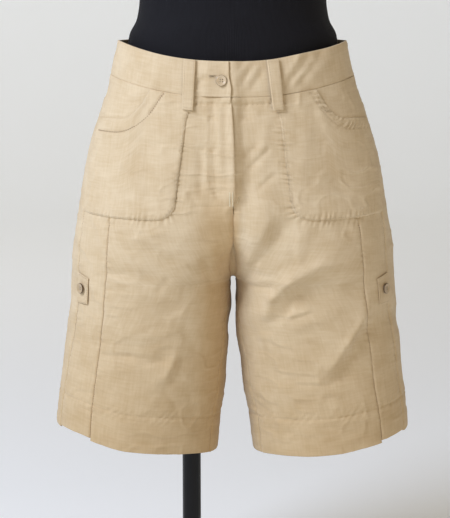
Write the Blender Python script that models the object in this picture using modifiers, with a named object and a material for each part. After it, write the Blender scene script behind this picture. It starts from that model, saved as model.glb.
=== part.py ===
# Linen bermuda shorts on a limbless trouser form, which stands on an off-centre pole and a round foot.
# Metres, +Z up. The front faces -Y, and the wearer's right is at -X. "drop" is the distance down from
# the top of the waistband at the side, and "around" is the angle round the body or the leg: 0 at its
# outer side, 90 degrees at the front, 180 at the inner side and below 0 at the back.
import math

import bmesh
import bpy
import numpy as np
from mathutils import Matrix, Vector

RIGHT, LEFT = -1, 1                 # the wearer's sides, and the sign of X on each
SIDE_NAMES = {RIGHT: "right", LEFT: "left"}

# ---- heights -------------------------------------------------------------------------------------
HEM_DROP = 0.546                    # length of the cloth from the top of the waistband
HEM_ABOVE_FLOOR = 0.225
WAIST_Z = HEM_ABOVE_FLOOR + HEM_DROP
HEM_RISE_FROM = 0.300
HEM_DEPTH = 0.050
STRIP_HEM_STEP = 0.003              # the side strip ends this much above the front panel
CROTCH_DROP = 0.3055
BAND_HEIGHT = 0.044
FRONT_DIP = 0.026                   # the waist is lower at the centre front than at the sides
BACK_RISE = 0.008                   # and higher at the centre back
DIP_FADES = (0.050, 0.240)

# ---- cloth ---------------------------------------------------------------------------------------
SEAM_GAP = 0.0003                   # between pieces at a seam
LAYER_AIR = 0.0007                  # under what lies on a panel
CLOTH = 0.0015
HEM_CLOTH = 0.0026                  # turned up and sewn double
BAND_PROUD = 0.0008                 # the doubled band stands out from the panels below it
BAND_CLOTH = 0.0024
POCKET_CLOTH = 0.0013
FACING_CLOTH = 0.0010
TAB_CLOTH = 0.0012
LOOP_CLOTH = 0.0020
LOOP_ARCH = 0.0022                  # how far a belt loop stands off the band at mid-height
FLY_OVERLAP = 0.003
FLY_LIFT = CLOTH + SEAM_GAP         # the right front lies over the left one along the fly
FLY_END_DROP = 0.203
FLY_FADES = (0.214, 0.238)
FLY_RAMP = (-0.034, -0.006)         # across, from flat to fully lifted
BAND_END = -0.0015                  # across, end of the overlapping half of the band
BAND_UNDER_END = -0.0290            # across, end of the half under it
BAND_LIFT = BAND_CLOTH + SEAM_GAP
BAND_RAMP = (-0.043, -0.0315)


def table(names, *rows):
    """Named columns of numbers, one row for each section, fold or station."""
    return dict(zip(names.split(), np.array(rows, dtype=float).T))


# Half widths and depths of the cloth's outer face. A squareness of 2 is an ellipse; the inner one is
# for the half of each ring that faces the other leg.
SECTIONS = table(
    "drop   half_width front_depth back_depth squareness inner_squareness",
    (0.000, 0.1463, 0.102, 0.104, 2.35, 2.35),
    (0.044, 0.1563, 0.106, 0.110, 2.35, 2.35),
    (0.080, 0.1685, 0.110, 0.117, 2.38, 2.38),
    (0.120, 0.1815, 0.113, 0.125, 2.40, 2.40),
    (0.160, 0.1928, 0.115, 0.130, 2.40, 2.40),
    (0.200, 0.2000, 0.115, 0.132, 2.38, 2.38),
    (0.240, 0.2062, 0.112, 0.130, 2.28, 2.30),
    (0.280, 0.2103, 0.107, 0.126, 2.14, 2.36),
    (0.306, 0.2125, 0.103, 0.122, 2.08, 2.44),
    (0.350, 0.2163, 0.098, 0.115, 2.05, 2.36),
    (0.400, 0.2212, 0.093, 0.108, 2.06, 2.16),
    (0.450, 0.2250, 0.090, 0.103, 2.08, 2.10),
    (0.500, 0.2300, 0.088, 0.099, 2.10, 2.10),
    (0.546, 0.2342, 0.087, 0.097, 2.10, 2.10),
)
# How far the body has parted into two legs: 0 is one ring round both, 1 is two whole rings.
FORK = table(
    "drop   parted",
    (0.000, 0.00),
    (0.150, 0.00),
    (0.190, 0.08),
    (0.220, 0.25),
    (0.240, 0.45),
    (0.260, 0.65),
    (0.275, 0.79),
    (0.290, 0.915),
    (0.300, 0.973),
    (CROTCH_DROP, 1.00),
    (0.340, 1.00),
    (0.546, 1.00),
)
# Distance of each leg's inner side from the middle.
INNER_SIDES = table(
    "drop   right  left",
    (0.000, 0.0000, 0.0000),
    (0.295, 0.0000, 0.0000),
    (CROTCH_DROP, 0.0004, 0.0004),
    (0.3100, 0.0032, 0.0044),
    (0.3280, 0.0031, 0.0043),
    (0.3460, 0.0020, 0.0026),
    (0.3700, 0.0042, 0.0038),
    (0.4120, 0.0062, 0.0085),
    (0.4560, 0.0102, 0.0139),
    (0.5000, 0.0178, 0.0235),
    (0.5460, 0.0215, 0.0290),
)
# How far the hem is higher than its drop says, from the inner side of the leg (0) to the outer one (1).
HEM_RISES = table(
    "outward right  left",
    (0.00, 0.0055, 0.0055),
    (0.15, 0.0116, 0.0101),
    (0.35, 0.0164, 0.0131),
    (0.55, 0.0212, 0.0177),
    (0.70, 0.0288, 0.0238),
    (0.85, 0.0377, 0.0299),
    (1.00, 0.0425, 0.0375),
)
# Where the seams run round the leg, in degrees.
SEAMS = table(
    "drop   front_right front_left side_seam inseam_turn",
    (0.000, 37.0, 37.0, 9.0, 0.0),
    (0.050, 38.0, 38.0, 13.0, 0.0),
    (0.100, 40.5, 40.5, 16.5, 0.0),
    (0.160, 43.5, 43.5, 20.0, 0.0),
    (0.215, 48.0, 47.2, 23.0, 0.0),
    (0.240, 52.0, 50.0, 24.5, 0.0),
    (0.270, 56.0, 53.5, 27.0, 0.0),
    (0.306, 58.8, 56.0, 29.5, 0.0),
    (0.318, 59.0, 56.3, 29.5, 1.5),
    (0.345, 58.9, 55.8, 29.5, 14.0),
    (0.380, 58.5, 55.0, 29.0, 22.0),
    (0.455, 58.0, 54.8, 25.5, 25.0),
    (0.546, 58.8, 52.8, 23.0, 26.0),
)
# Largest folds: soft ridges, or troughs where the height is below 0. Each runs between two points
# given across and down as seen from an azimuth, where 0 sees the front and 180 the back.
FOLDS = table(
    "azimuth across_1 drop_1 across_2 drop_2 width height",
    (0, 0.022, 0.235, 0.020, 0.300, 0.020, 0.0022),
    (0, 0.062, 0.236, 0.024, 0.292, 0.016, -0.0036),
    (0, 0.115, 0.276, 0.074, 0.300, 0.015, 0.0034),
    (0, 0.074, 0.300, 0.044, 0.342, 0.014, 0.0032),
    (0, 0.150, 0.312, 0.080, 0.322, 0.016, -0.0030),
    (0, 0.078, 0.324, 0.056, 0.352, 0.013, -0.0022),
    (0, 0.168, 0.342, 0.127, 0.416, 0.016, 0.0032),
    (0, 0.178, 0.368, 0.143, 0.428, 0.014, -0.0026),
    (0, 0.078, 0.434, 0.135, 0.438, 0.012, -0.0016),
    (0, -0.158, 0.293, -0.112, 0.295, 0.012, -0.0020),
    (0, -0.160, 0.313, -0.128, 0.318, 0.010, -0.0014),
    (0, -0.165, 0.397, -0.066, 0.405, 0.012, -0.0022),
    (0, -0.074, 0.405, -0.095, 0.440, 0.011, 0.0020),
    (0, -0.026, 0.262, -0.044, 0.290, 0.018, 0.0022),
    (0, -0.036, 0.300, -0.080, 0.340, 0.016, -0.0018),
    (90, -0.045, 0.352, 0.030, 0.392, 0.018, -0.0022),
    (90, 0.050, 0.215, -0.010, 0.262, 0.018, 0.0014),
    (-90, 0.040, 0.318, -0.030, 0.372, 0.018, -0.0020),
    (-90, -0.045, 0.245, 0.015, 0.280, 0.018, 0.0014),
    (180, 0.030, 0.330, 0.100, 0.372, 0.020, -0.0022),
    (180, 0.085, 0.305, 0.130, 0.322, 0.018, 0.0014),
    (180, -0.030, 0.316, -0.090, 0.346, 0.020, -0.0024),
    (180, -0.070, 0.370, -0.120, 0.400, 0.018, 0.0016),
    (180, 0.060, 0.238, 0.150, 0.250, 0.018, -0.0016),
    (180, -0.060, 0.222, -0.150, 0.240, 0.018, -0.0018),
    (180, 0.060, 0.430, 0.150, 0.455, 0.018, -0.0016),
    (180, -0.055, 0.455, -0.140, 0.435, 0.018, -0.0016),
)
SEAT_ZONE = (0.060, 0.130)          # drop, where the shorts sit on the form and no fold goes inward

# ---- grids ---------------------------------------------------------------------------------------
PANEL_ROWS = np.concatenate((
    np.linspace(BAND_HEIGHT, 0.240, 8)[:-1],
    np.array([0.240, 0.258, 0.274, 0.288, 0.298, CROTCH_DROP, 0.311, 0.318]),
    np.linspace(0.330, HEM_DROP - HEM_DEPTH - 0.002, 7),
    np.array([HEM_DROP - HEM_DEPTH + 0.001, HEM_DROP - 0.025, HEM_DROP]),
))
FRONT_CELLS, STRIP_CELLS, BACK_CELLS = 14, 4, 16
BAND_ROWS = np.linspace(0.0, BAND_HEIGHT, 4)[:, None]

# ---- pockets, loops and tabs, across from the middle and down ---------------------------------------
POCKET_INNER = table(
    "drop   across",
    (0.066, 0.0525),
    (0.085, 0.0540),
    (0.098, 0.0580),
    (0.123, 0.0612),
    (0.152, 0.0650),
    (0.183, 0.0695),
    (0.225, 0.0740),
)
POCKET_SCOOP_FROM = 0.099           # across, where the scooped opening leaves the waistband
POCKET_SCOOP_WIDTH = 0.046
POCKET_SCOOP_TOP, POCKET_SCOOP_DROP = 0.057, 0.0978
POCKET_SCOOP_CURVE = (2.6, 0.8)     # powers of its flattened quarter circle, across and down
POCKET_BOTTOM = 0.2225
POCKET_BOTTOM_RISE = 0.006          # towards the side seam
POCKET_CORNER, POCKET_CORNER_RISE = 0.028, 0.0224
FACING_FROM = 0.086
FACING_BELOW_SCOOP = 0.014
FACING_MARGIN = 0.002               # the pocket starts to rise this far before the facing's inner edge
FACING_STEP = 0.012                 # and is up within this length
FACING_EASE = 0.022                 # below the facing it settles onto the front within this length
POCKET_COLUMNS = np.concatenate((np.linspace(0, 0.34, 6, endpoint=False), np.linspace(0.34, 1.0, 9)))
POCKET_ROWS = 10
FACING_COLUMNS = np.linspace(0.0, 1.0, 9)
FACING_ROWS = 5
LOOP_WIDTH = 0.0150
LOOP_LENGTH = 0.0625
LOOP_SEATS_AT = BAND_HEIGHT + 0.006
# Belt loops: angle round the waist, and how far across the lower end stands from the upper one.
LOOPS = (
    ("belt_loop_front_right", RIGHT, 0.0529, 0.0026, 0),
    ("belt_loop_front_left", LEFT, 0.0480, 0.0072, 0),
    ("belt_loop_back_right", RIGHT, 0.0900, 0.0, 180),
    ("belt_loop_back_centre", LEFT, 0.0000, 0.0, 180),
    ("belt_loop_back_left", LEFT, 0.0900, 0.0, 180),
)
TAB_FRONT_ANGLE = 44.0
TAB_TOP_AT_SEAM, TAB_TOP_AT_FRONT, TAB_BOTTOM = 0.2950, 0.3010, 0.3375
BUTTON_RADIUS = 0.0069
BUTTON_THICK = 0.0030
BUTTON_SEAT = 0.0004                # a button's back is clear of the cloth's curve
# A button's outline from its middle to its rim and back, as shares of its radius and thickness.
BUTTON_OUTLINE = ((0.00, 0.70), (0.43, 0.70), (0.72, 0.92), (0.86, 1.00), (0.97, 0.80), (1.00, 0.45),
                  (0.93, 0.00), (0.00, 0.00))
WAIST_BUTTON_ACROSS = -0.0145
WAIST_BUTTON_DROP = 0.0500
TAB_BUTTON_ANGLE = 36.5
TAB_BUTTON_DROP = 0.3155

# ---- form and stand -------------------------------------------------------------------------------
# Above the fork the form follows the shorts with this much air between them; its own sizes take over
# above the waist. Each row is one ring.
FORM_RINGS = table(
    "drop    side_air front_air back_air",
    (-0.010, 0.0140, 0.0120, 0.0130),
    (0.010, 0.0120, 0.0100, 0.0110),
    (0.030, 0.0098, 0.0078, 0.0085),
    (0.050, 0.0068, 0.0055, 0.0060),
    (0.070, 0.0042, 0.0034, 0.0036),
    (0.088, 0.0023, 0.0023, 0.0023),
    (0.102, 0.0023, 0.0023, 0.0023),
    (0.122, 0.0060, 0.0050, 0.0045),
    (0.145, 0.0110, 0.0080, 0.0060),
    (0.170, 0.0170, 0.0120, 0.0100),
    (0.195, 0.0260, 0.0180, 0.0180),
    (0.218, 0.0400, 0.0270, 0.0300),
    (0.234, 0.0620, 0.0400, 0.0450),
    (0.241, 0.0850, 0.0560, 0.0620),
)
FORM_TOP_RINGS = table(
    "drop    half_width front_depth back_depth",
    (-0.088, 0.1135, 0.0800, 0.0780),
    (-0.084, 0.1168, 0.0830, 0.0810),
    (-0.062, 0.1195, 0.0850, 0.0830),
    (-0.040, 0.1212, 0.0870, 0.0850),
    (-0.024, 0.1248, 0.0890, 0.0880),
)
FORM_TOP_SQUARENESS = 2.2
FORM_CELLS = 48
CAP_THICK = 0.008
CAP_INSET = 0.006
CAP_BEVEL = 0.002
POLE_ACROSS = -0.0552
POLE_RADIUS = 0.0124
BASE_RADIUS = 0.150
BASE_THICK = 0.010
BASE_BEVEL = 0.0025
HUB_RADIUS = 0.021
HUB_HEIGHT = 0.026
# The hub's outer side from its top down, as shares of its radius and height.
HUB_OUTLINE = ((0.72, 1.00), (0.80, 0.92), (0.84, 0.31), (1.00, 0.12), (1.00, 0.00))
BUTTON_STEPS, STAND_STEPS, BASE_STEPS = 16, 24, 64

LINEN = ("linen", (0.62, 0.49, 0.31, 1.0), 0.85, 0.0)
LINEN_DOUBLE = ("linen_double", (0.58, 0.46, 0.29, 1.0), 0.85, 0.0)
HORN = ("button_resin", (0.66, 0.50, 0.33, 1.0), 0.30, 0.0)
JERSEY = ("black_jersey", (0.012, 0.012, 0.015, 1.0), 0.80, 0.0)
BLACK_PAINT = ("black_paint", (0.010, 0.010, 0.011, 1.0), 0.40, 0.0)


def ease(value, start, end):
    """0 before start, 1 after end, and a smooth step between them."""
    t = np.clip((value - start) / (end - start), 0.0, 1.0)
    return t * t * (3.0 - 2.0 * t)


def read(rows, name, at):
    """A smooth curve through a table's column, read by its first one: cubics that never overshoot."""
    x, y = next(iter(rows.values())), rows[name]
    step = np.diff(x)
    slope = np.diff(y) / step
    tangent = np.zeros_like(y)
    same_way = slope[:-1] * slope[1:] > 0
    harmonic = 2.0 * slope[:-1] * slope[1:] / np.where(same_way, slope[:-1] + slope[1:], 1.0)
    tangent[1:-1] = np.where(same_way, harmonic, 0.0)
    tangent[0], tangent[-1] = slope[0], slope[-1]
    at = np.clip(at, x[0], x[-1])
    i = np.clip(np.searchsorted(x, at, side="right") - 1, 0, len(x) - 2)
    t = (at - x[i]) / step[i]
    return (y[i] * (1 + 2 * t) * (1 - t) ** 2 + y[i + 1] * t * t * (3 - 2 * t)
            + step[i] * (tangent[i] * t * (1 - t) ** 2 - tangent[i + 1] * t * t * (1 - t)))


def squareness_at(drop, outward):
    """Squareness of the ring's outer half, or of its inner half where `outward` is below 0."""
    return np.where(outward < 0, read(SECTIONS, "inner_squareness", drop), read(SECTIONS, "squareness", drop))


def bare_surface(side, around, drop):
    """The cloth's outer face without folds: a ring that parts into two leg rings as it goes down."""
    half_width = read(SECTIONS, "half_width", drop)
    inner = read(INNER_SIDES, SIDE_NAMES[side], drop)
    parted = read(FORK, "parted", drop)
    radius = (half_width - inner) / (1.0 + parted)
    centre = half_width - radius
    cosine, sine = np.cos(around), np.sin(around)
    power = 2.0 / squareness_at(drop, cosine)
    depth = np.where(sine > 0, read(SECTIONS, "front_depth", drop), read(SECTIONS, "back_depth", drop))
    across = centre + radius * np.sign(cosine) * np.abs(cosine) ** power
    forward = depth * np.sign(sine) * np.abs(sine) ** power
    waist = 1.0 - ease(drop, *DIP_FADES)
    front, back = np.maximum(sine, 0.0) ** 2, np.minimum(sine, 0.0) ** 2
    outward = (across - inner) / (half_width - inner)
    z = (WAIST_Z - drop - waist * (FRONT_DIP * front - BACK_RISE * back)
         + ease(drop, HEM_RISE_FROM, HEM_DROP) * read(HEM_RISES, SIDE_NAMES[side], outward))
    return np.stack(np.broadcast_arrays(side * across, -forward, z), axis=-1)


def normals(side, around, drop, step=0.004):
    """Outward unit normals of the bare surface, from differences along it."""
    turn = bare_surface(side, around + step, drop) - bare_surface(side, around - step, drop)
    fall = bare_surface(side, around, drop + step) - bare_surface(side, around, drop - step)
    normal = np.cross(turn, fall) * side
    return normal / np.linalg.norm(normal, axis=-1, keepdims=True)


def fold_height(points, normal, drop):
    """Sum of the folds at these points, each one a bell across its line that fades at both ends."""
    total = np.zeros(points.shape[:-1])
    for azimuth, across_1, drop_1, across_2, drop_2, width, height in zip(*FOLDS.values()):
        angle = math.radians(azimuth)
        across = points[..., 0] * math.cos(angle) + points[..., 1] * math.sin(angle)
        facing = normal[..., 0] * math.sin(angle) - normal[..., 1] * math.cos(angle)
        along = np.array([across_2 - across_1, drop_2 - drop_1])
        length = np.linalg.norm(along)
        along = along / length
        run = (across - across_1) * along[0] + (drop - drop_1) * along[1]
        off = (across - across_1) * along[1] - (drop - drop_1) * along[0]
        past = np.maximum(np.maximum(-run, run - length), 0.0)
        bell = np.exp(-(off / width) ** 2 - (past / (1.5 * width)) ** 2)
        total += height * bell * ease(facing, 0.05, 0.45)
    top, bottom = SEAT_ZONE
    seated = ease(drop, top - 0.02, top) * (1 - ease(drop, bottom, bottom + 0.03))
    return np.where(total < 0, total * (1 - seated), total)


def cloth(side, around, drop, out=0.0):
    """Points of the folded cloth's outer face, moved outward by `out`, and their normals."""
    around, drop = np.broadcast_arrays(around, drop)
    base = bare_surface(side, around, drop)
    normal = normals(side, around, drop)
    rise = fold_height(base, normal, drop) + out
    return base + normal * np.asarray(rise)[..., None], normal


def front_start(side, drop):
    """Angle of the centre front, the crotch curve or the inseam, as the drop goes down."""
    parted = read(FORK, "parted", drop)
    half_square = squareness_at(drop, -1.0) / 2.0
    above = math.pi - np.arccos(np.clip(parted, 0.0, 1.0) ** half_square)
    return np.where(drop < CROTCH_DROP, above, math.pi) - np.radians(read(SEAMS, "inseam_turn", drop))


def angle_at(side, across, drop, back=False):
    """Angle round the body whose point lies this far across."""
    half_width = read(SECTIONS, "half_width", drop)
    inner = read(INNER_SIDES, SIDE_NAMES[side], drop)
    radius = (half_width - inner) / (1.0 + read(FORK, "parted", drop))
    share = np.clip((across - half_width + radius) / radius, -1.0, 1.0)
    angle = np.arccos(np.sign(share) * np.abs(share) ** (squareness_at(drop, share) / 2.0))
    return -angle if back else angle


def seen_drop(drop, angle):
    """Drop along the cloth for a point that is seen this far below the waistband's top at the side."""
    level = drop
    for _ in range(4):
        level = drop - FRONT_DIP * (1.0 - ease(level, *DIP_FADES)) * np.sin(angle) ** 2
    return level


def on_front(side, across, drop):
    """Angle and drop along the cloth for points given across and down as seen from the front."""
    level = drop
    for _ in range(4):
        angle = angle_at(side, across, level)
        level = seen_drop(drop, angle)
    return angle, level


def wall(name, outer, inner, material, keep_side=0):
    """A closed wall between two grids of points, its four edges drawn in by half a seam gap."""
    outer, inner = outer.copy(), inner.copy()
    for grid in (outer, inner):
        for axis in (0, 1):
            rows = np.moveaxis(grid, axis, 0)
            for edge, inside in ((0, 1), (-1, -2)):
                pull = rows[inside] - rows[edge]
                rows[edge] += pull * (SEAM_GAP / 2) / np.linalg.norm(pull, axis=-1, keepdims=True)
        if keep_side:
            grid[..., 0] = keep_side * np.maximum(keep_side * grid[..., 0], SEAM_GAP / 2)
    rows, columns = outer.shape[:2]
    mesh = bmesh.new()
    front = [[mesh.verts.new(Vector(point)) for point in row] for row in outer]
    rear = [[mesh.verts.new(Vector(point)) for point in row] for row in inner]
    for j in range(rows - 1):
        for i in range(columns - 1):
            mesh.faces.new((front[j][i], front[j][i + 1], front[j + 1][i + 1], front[j + 1][i]))
            mesh.faces.new((rear[j][i], rear[j + 1][i], rear[j + 1][i + 1], rear[j][i + 1]))
    border = ([(0, i) for i in range(columns)]
              + [(j, columns - 1) for j in range(1, rows)]
              + [(rows - 1, i) for i in range(columns - 2, -1, -1)]
              + [(j, 0) for j in range(rows - 2, 0, -1)])
    for (j, i), (l, k) in zip(border, border[1:] + border[:1]):
        mesh.faces.new((front[l][k], front[j][i], rear[j][i], rear[l][k]))
    bmesh.ops.recalc_face_normals(mesh, faces=mesh.faces)
    return finish(name, mesh, material)


def finish(name, mesh, material, smooth_angle=35.0):
    """Puts a bmesh into the scene as a named object of the shorts' collection."""
    data = bpy.data.meshes.new(name)
    mesh.to_mesh(data)
    mesh.free()
    data.shade_smooth()
    data.set_sharp_from_angle(angle=math.radians(smooth_angle))
    data.materials.append(surface_finish(*material))
    thing = bpy.data.objects.new(name, data)
    PARTS.objects.link(thing)
    return thing


def surface_finish(name, colour, roughness, metallic):
    """One Principled material for each finish."""
    if name in bpy.data.materials:
        return bpy.data.materials[name]
    material = bpy.data.materials.new(name)
    material.use_nodes = True
    shader = material.node_tree.nodes["Principled BSDF"]
    shader.inputs["Base Color"].default_value = colour
    shader.inputs["Roughness"].default_value = roughness
    shader.inputs["Metallic"].default_value = metallic
    return material


def panel(name, side, start, end, cells, rows, hem_step=0.0, lift=None):
    """A cloth panel between two seam lines, thicker where the hem is turned up."""
    share = np.linspace(0.0, 1.0, cells + 1)[None, :]
    drop = rows[:, None].copy()
    drop[-1] -= hem_step
    around = start[:, None] * (1 - share) + end[:, None] * share
    around, drop = np.broadcast_arrays(around, drop)
    outer, normal = cloth(side, around, drop)
    thick = np.where(drop > HEM_DROP - HEM_DEPTH - 0.0005, HEM_CLOTH, CLOTH)
    inner = outer - normal * thick[..., None]
    if lift is not None:
        raised = lift(side * outer[..., 0], drop)[..., None] * normal
        outer, inner = outer + raised, inner + raised
    return wall(name, outer, inner, LINEN, side if lift is None else 0)


def fly_rise(across, drop):
    """How far the right front is raised over the left one, nearest the centre front."""
    return FLY_LIFT * (1 - ease(across, -FLY_RAMP[1], -FLY_RAMP[0])) * (1 - ease(drop, *FLY_FADES))


def make_panels():
    rows = PANEL_ROWS
    side_seam = np.radians(read(SEAMS, "side_seam", rows))
    for side in (RIGHT, LEFT):
        word = SIDE_NAMES[side]
        front_seam = np.radians(read(SEAMS, "front_" + word, rows))
        start = front_start(side, rows)
        if side == RIGHT:
            fly_rows = rows < FLY_END_DROP
            past_middle = angle_at(side, -FLY_OVERLAP, rows)
            overlapped = np.where(fly_rows, past_middle, start)
            fly = panel("front_right", side, overlapped, front_seam, FRONT_CELLS, rows, lift=fly_rise)
            keep_right_of_middle(fly, rows)
        else:
            panel("front_left", side, start, front_seam, FRONT_CELLS, rows)
        panel("side_panel_" + word, side, front_seam, side_seam, STRIP_CELLS, rows, STRIP_HEM_STEP)
        middle_back = np.where(rows < CROTCH_DROP, -start, start - 2 * math.pi)
        panel("back_" + word, side, side_seam, middle_back, BACK_CELLS, rows)


def keep_right_of_middle(thing, rows):
    """Below the fly the right front stops at the middle like every other panel."""
    below = WAIST_Z - rows[rows >= FLY_END_DROP][0] + 0.001
    for vertex in thing.data.vertices:
        if vertex.co.z < below:
            vertex.co.x = min(vertex.co.x, -SEAM_GAP / 2)


def band_piece(name, side, stations, lift=None):
    """A stretch of the waistband, from its top edge to the seam below it."""
    around, drop = np.broadcast_arrays(stations[None, :], BAND_ROWS)
    outer, normal = cloth(side, around, drop, BAND_PROUD)
    if lift is not None:
        outer = outer + normal * lift(side * outer[..., 0])[..., None]
    return wall(name, outer, outer - normal * BAND_CLOTH, LINEN_DOUBLE)


def band_rise(across):
    """The overlapping end of the band stands out over the end under it."""
    return BAND_LIFT * (1 - ease(across, -BAND_RAMP[1], -BAND_RAMP[0]))


def make_waistband():
    seam = math.radians(SEAMS["side_seam"][0])
    middle = BAND_HEIGHT / 2
    end, ramp, flat = [float(angle_at(RIGHT, -across, middle)) for across in (BAND_END, *BAND_RAMP[::-1])]
    under_end = float(angle_at(LEFT, BAND_UNDER_END, middle))
    overlap = np.concatenate((np.linspace(end, ramp, 4)[:-1], np.linspace(ramp, flat, 3)[:-1],
                              np.linspace(flat, seam, 10)))
    band_piece("waistband_front_right", RIGHT, overlap, band_rise)
    band_piece("waistband_front_left", LEFT, np.linspace(under_end, seam, 15))
    halves = []
    for side in (RIGHT, LEFT):
        share = np.linspace(0.0, 1.0, 13)[None, :]
        around, drop = np.broadcast_arrays(seam * (1 - share) - math.pi / 2 * share, BAND_ROWS)
        halves.append(cloth(side, around, drop, BAND_PROUD))
    outer = np.concatenate((halves[0][0], halves[1][0][:, -2::-1]), axis=1)
    normal = np.concatenate((halves[0][1], halves[1][1][:, -2::-1]), axis=1)
    wall("waistband_back", outer, outer - normal * BAND_CLOTH, LINEN_DOUBLE)


def scoop_drop(across):
    """Drop of the pocket's scooped opening: a quarter of a flattened circle, then level."""
    run = np.clip((across - POCKET_SCOOP_FROM) / POCKET_SCOOP_WIDTH, 0.0, 1.0)
    flat, steep = POCKET_SCOOP_CURVE
    depth = POCKET_SCOOP_DROP - POCKET_SCOOP_TOP
    return POCKET_SCOOP_TOP + depth * (1 - (1 - run) ** flat) ** (1 / steep)


def front_patch(side, inner_edge, top_edge, bottom_edge, share, rows):
    """Angles and drops of a patch that reaches the side seam, and how far across and down each is seen."""
    fall = np.linspace(0.0, 1.0, rows + 1)[:, None]
    seen = level = np.full((rows + 1, len(share)), 0.14)
    for _ in range(10):
        start = angle_at(side, inner_edge(seen), level)
        angle = start + (np.radians(read(SEAMS, "side_seam", level)) - start) * share
        across = side * bare_surface(side, angle, level)[..., 0]
        top, bottom = top_edge(across[:1]), bottom_edge(across[-1:], share)
        seen = top + (bottom - top) * fall
        level = seen_drop(seen, angle)
    return angle, level, across, seen


def band_seam_drop(side, across):
    """Drop of the waistband's lower edge as it is seen from the front."""
    angle = angle_at(side, across, BAND_HEIGHT)
    return BAND_HEIGHT + FRONT_DIP * np.sin(angle) ** 2


def pocket_bottom(across, share):
    """The pocket's lower edge: rounded at its inner corner and a little higher at the side seam."""
    corner = np.clip(1 - (across - across[:, :1]) / POCKET_CORNER, 0.0, 1.0)
    return (POCKET_BOTTOM - POCKET_BOTTOM_RISE * share ** 2
            - POCKET_CORNER_RISE * (1 - np.sqrt(1 - corner ** 2)))


def pocket_offset(across, drop):
    """Air under the pocket: it passes over the facing, then settles onto the front panel."""
    risen = FACING_FROM - FACING_MARGIN
    over = ease(across, risen - FACING_STEP, risen)
    low = scoop_drop(np.maximum(across, POCKET_SCOOP_FROM)) + FACING_BELOW_SCOOP + 2 * FACING_MARGIN
    over = over * (1 - ease(drop, low, low + FACING_EASE))
    return LAYER_AIR + over * (FACING_CLOTH + LAYER_AIR)


def make_pockets():
    """The facing that shows above each scooped opening, and the patch pocket over its lower part."""
    for side in (RIGHT, LEFT):
        word = SIDE_NAMES[side]

        def seam_drop(across):
            return band_seam_drop(side, across)

        def opening_drop(across):
            scooped = np.where(across > POCKET_SCOOP_FROM, scoop_drop(across), 0.0)
            return np.maximum(seam_drop(across), scooped)

        def facing_bottom(across, share):
            return scoop_drop(np.maximum(across, POCKET_SCOOP_FROM)) + FACING_BELOW_SCOOP

        angle, along, across, seen = front_patch(side, lambda drop: FACING_FROM + 0 * drop, seam_drop,
                                                 facing_bottom, FACING_COLUMNS, FACING_ROWS)
        outer, normal = cloth(side, angle, along, LAYER_AIR + FACING_CLOTH)
        wall("pocket_facing_" + word, outer, outer - normal * FACING_CLOTH, LINEN)
        angle, along, across, seen = front_patch(side, lambda drop: read(POCKET_INNER, "across", drop),
                                                 opening_drop, pocket_bottom, POCKET_COLUMNS, POCKET_ROWS)
        outer, normal = cloth(side, angle, along, pocket_offset(across, seen) + POCKET_CLOTH)
        wall("patch_pocket_" + word, outer, outer - normal * POCKET_CLOTH, LINEN)


def make_belt_loops():
    """Folded strips over the band, standing off it in the middle and seated at both ends."""
    for name, side, across_top, lean, azimuth in LOOPS:
        fall = np.linspace(0.0, 1.0, 11)[:, None]
        width = LOOP_WIDTH * (np.linspace(-0.5, 0.5, 4)[None, :])
        across = across_top + lean * fall + width
        back = azimuth == 180
        drop = LOOP_LENGTH * fall + 0 * across
        if back:
            angle = np.where(across >= 0, angle_at(side, np.abs(across), drop, True),
                             -math.pi - angle_at(side, np.abs(across), drop, True))
        else:
            angle = angle_at(side, across, drop)
        air = BAND_PROUD + SEAM_GAP + LOOP_ARCH * np.sin(math.pi * fall)
        past_band = ease(drop, LOOP_SEATS_AT, LOOP_LENGTH)
        seat = 0.0 if back else POCKET_CLOTH + LAYER_AIR - BAND_PROUD
        outer, normal = cloth(side, angle, drop, air + seat * past_band + LOOP_CLOTH)
        wall(name, outer, outer - normal * LOOP_CLOTH, LINEN_DOUBLE)


def make_side_tabs():
    """Small patches caught in the side seam, with a slanted upper edge."""
    for side in (RIGHT, LEFT):
        share = np.linspace(0.0, 1.0, 5)[None, :]
        fall = np.linspace(0.0, 1.0, 5)[:, None]
        top = TAB_TOP_AT_FRONT + (TAB_TOP_AT_SEAM - TAB_TOP_AT_FRONT) * share
        drop = top + (TAB_BOTTOM - top) * fall
        seam = np.radians(read(SEAMS, "side_seam", drop))
        around = math.radians(TAB_FRONT_ANGLE) * (1 - share) + seam * share
        outer, normal = cloth(side, around, drop, LAYER_AIR + TAB_CLOTH)
        wall("side_tab_" + SIDE_NAMES[side], outer, outer - normal * TAB_CLOTH, LINEN_DOUBLE)


def turned(name, profile, steps, material):
    """A profile in X and Z, listed down its outer side, turned round the Z axis."""
    mesh = bmesh.new()
    points = [mesh.verts.new((radius, 0.0, height)) for radius, height in profile]
    for first, second in zip(points, points[1:]):
        mesh.edges.new((first, second))
    thing = finish(name, mesh, material)
    screw = thing.modifiers.new("turn", "SCREW")
    screw.steps = steps
    screw.render_steps = steps
    screw.use_merge_vertices = True
    screw.merge_threshold = 0.00005
    screw.use_smooth_shade = False
    return thing


def make_button(name, side, angle, drop, seat):
    """A round button with a raised rim, laid on the cloth and facing outward."""
    profile = [(BUTTON_RADIUS * out, BUTTON_THICK * up) for out, up in BUTTON_OUTLINE]
    point, normal = cloth(side, np.array(angle), np.array(drop), seat + BUTTON_SEAT + SEAM_GAP)
    turn = Vector(normal).to_track_quat("Z", "Y").to_matrix().to_4x4()
    thing = turned(name, profile, BUTTON_STEPS, HORN)
    thing.matrix_world = Matrix.Translation(Vector(point)) @ turn


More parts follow.
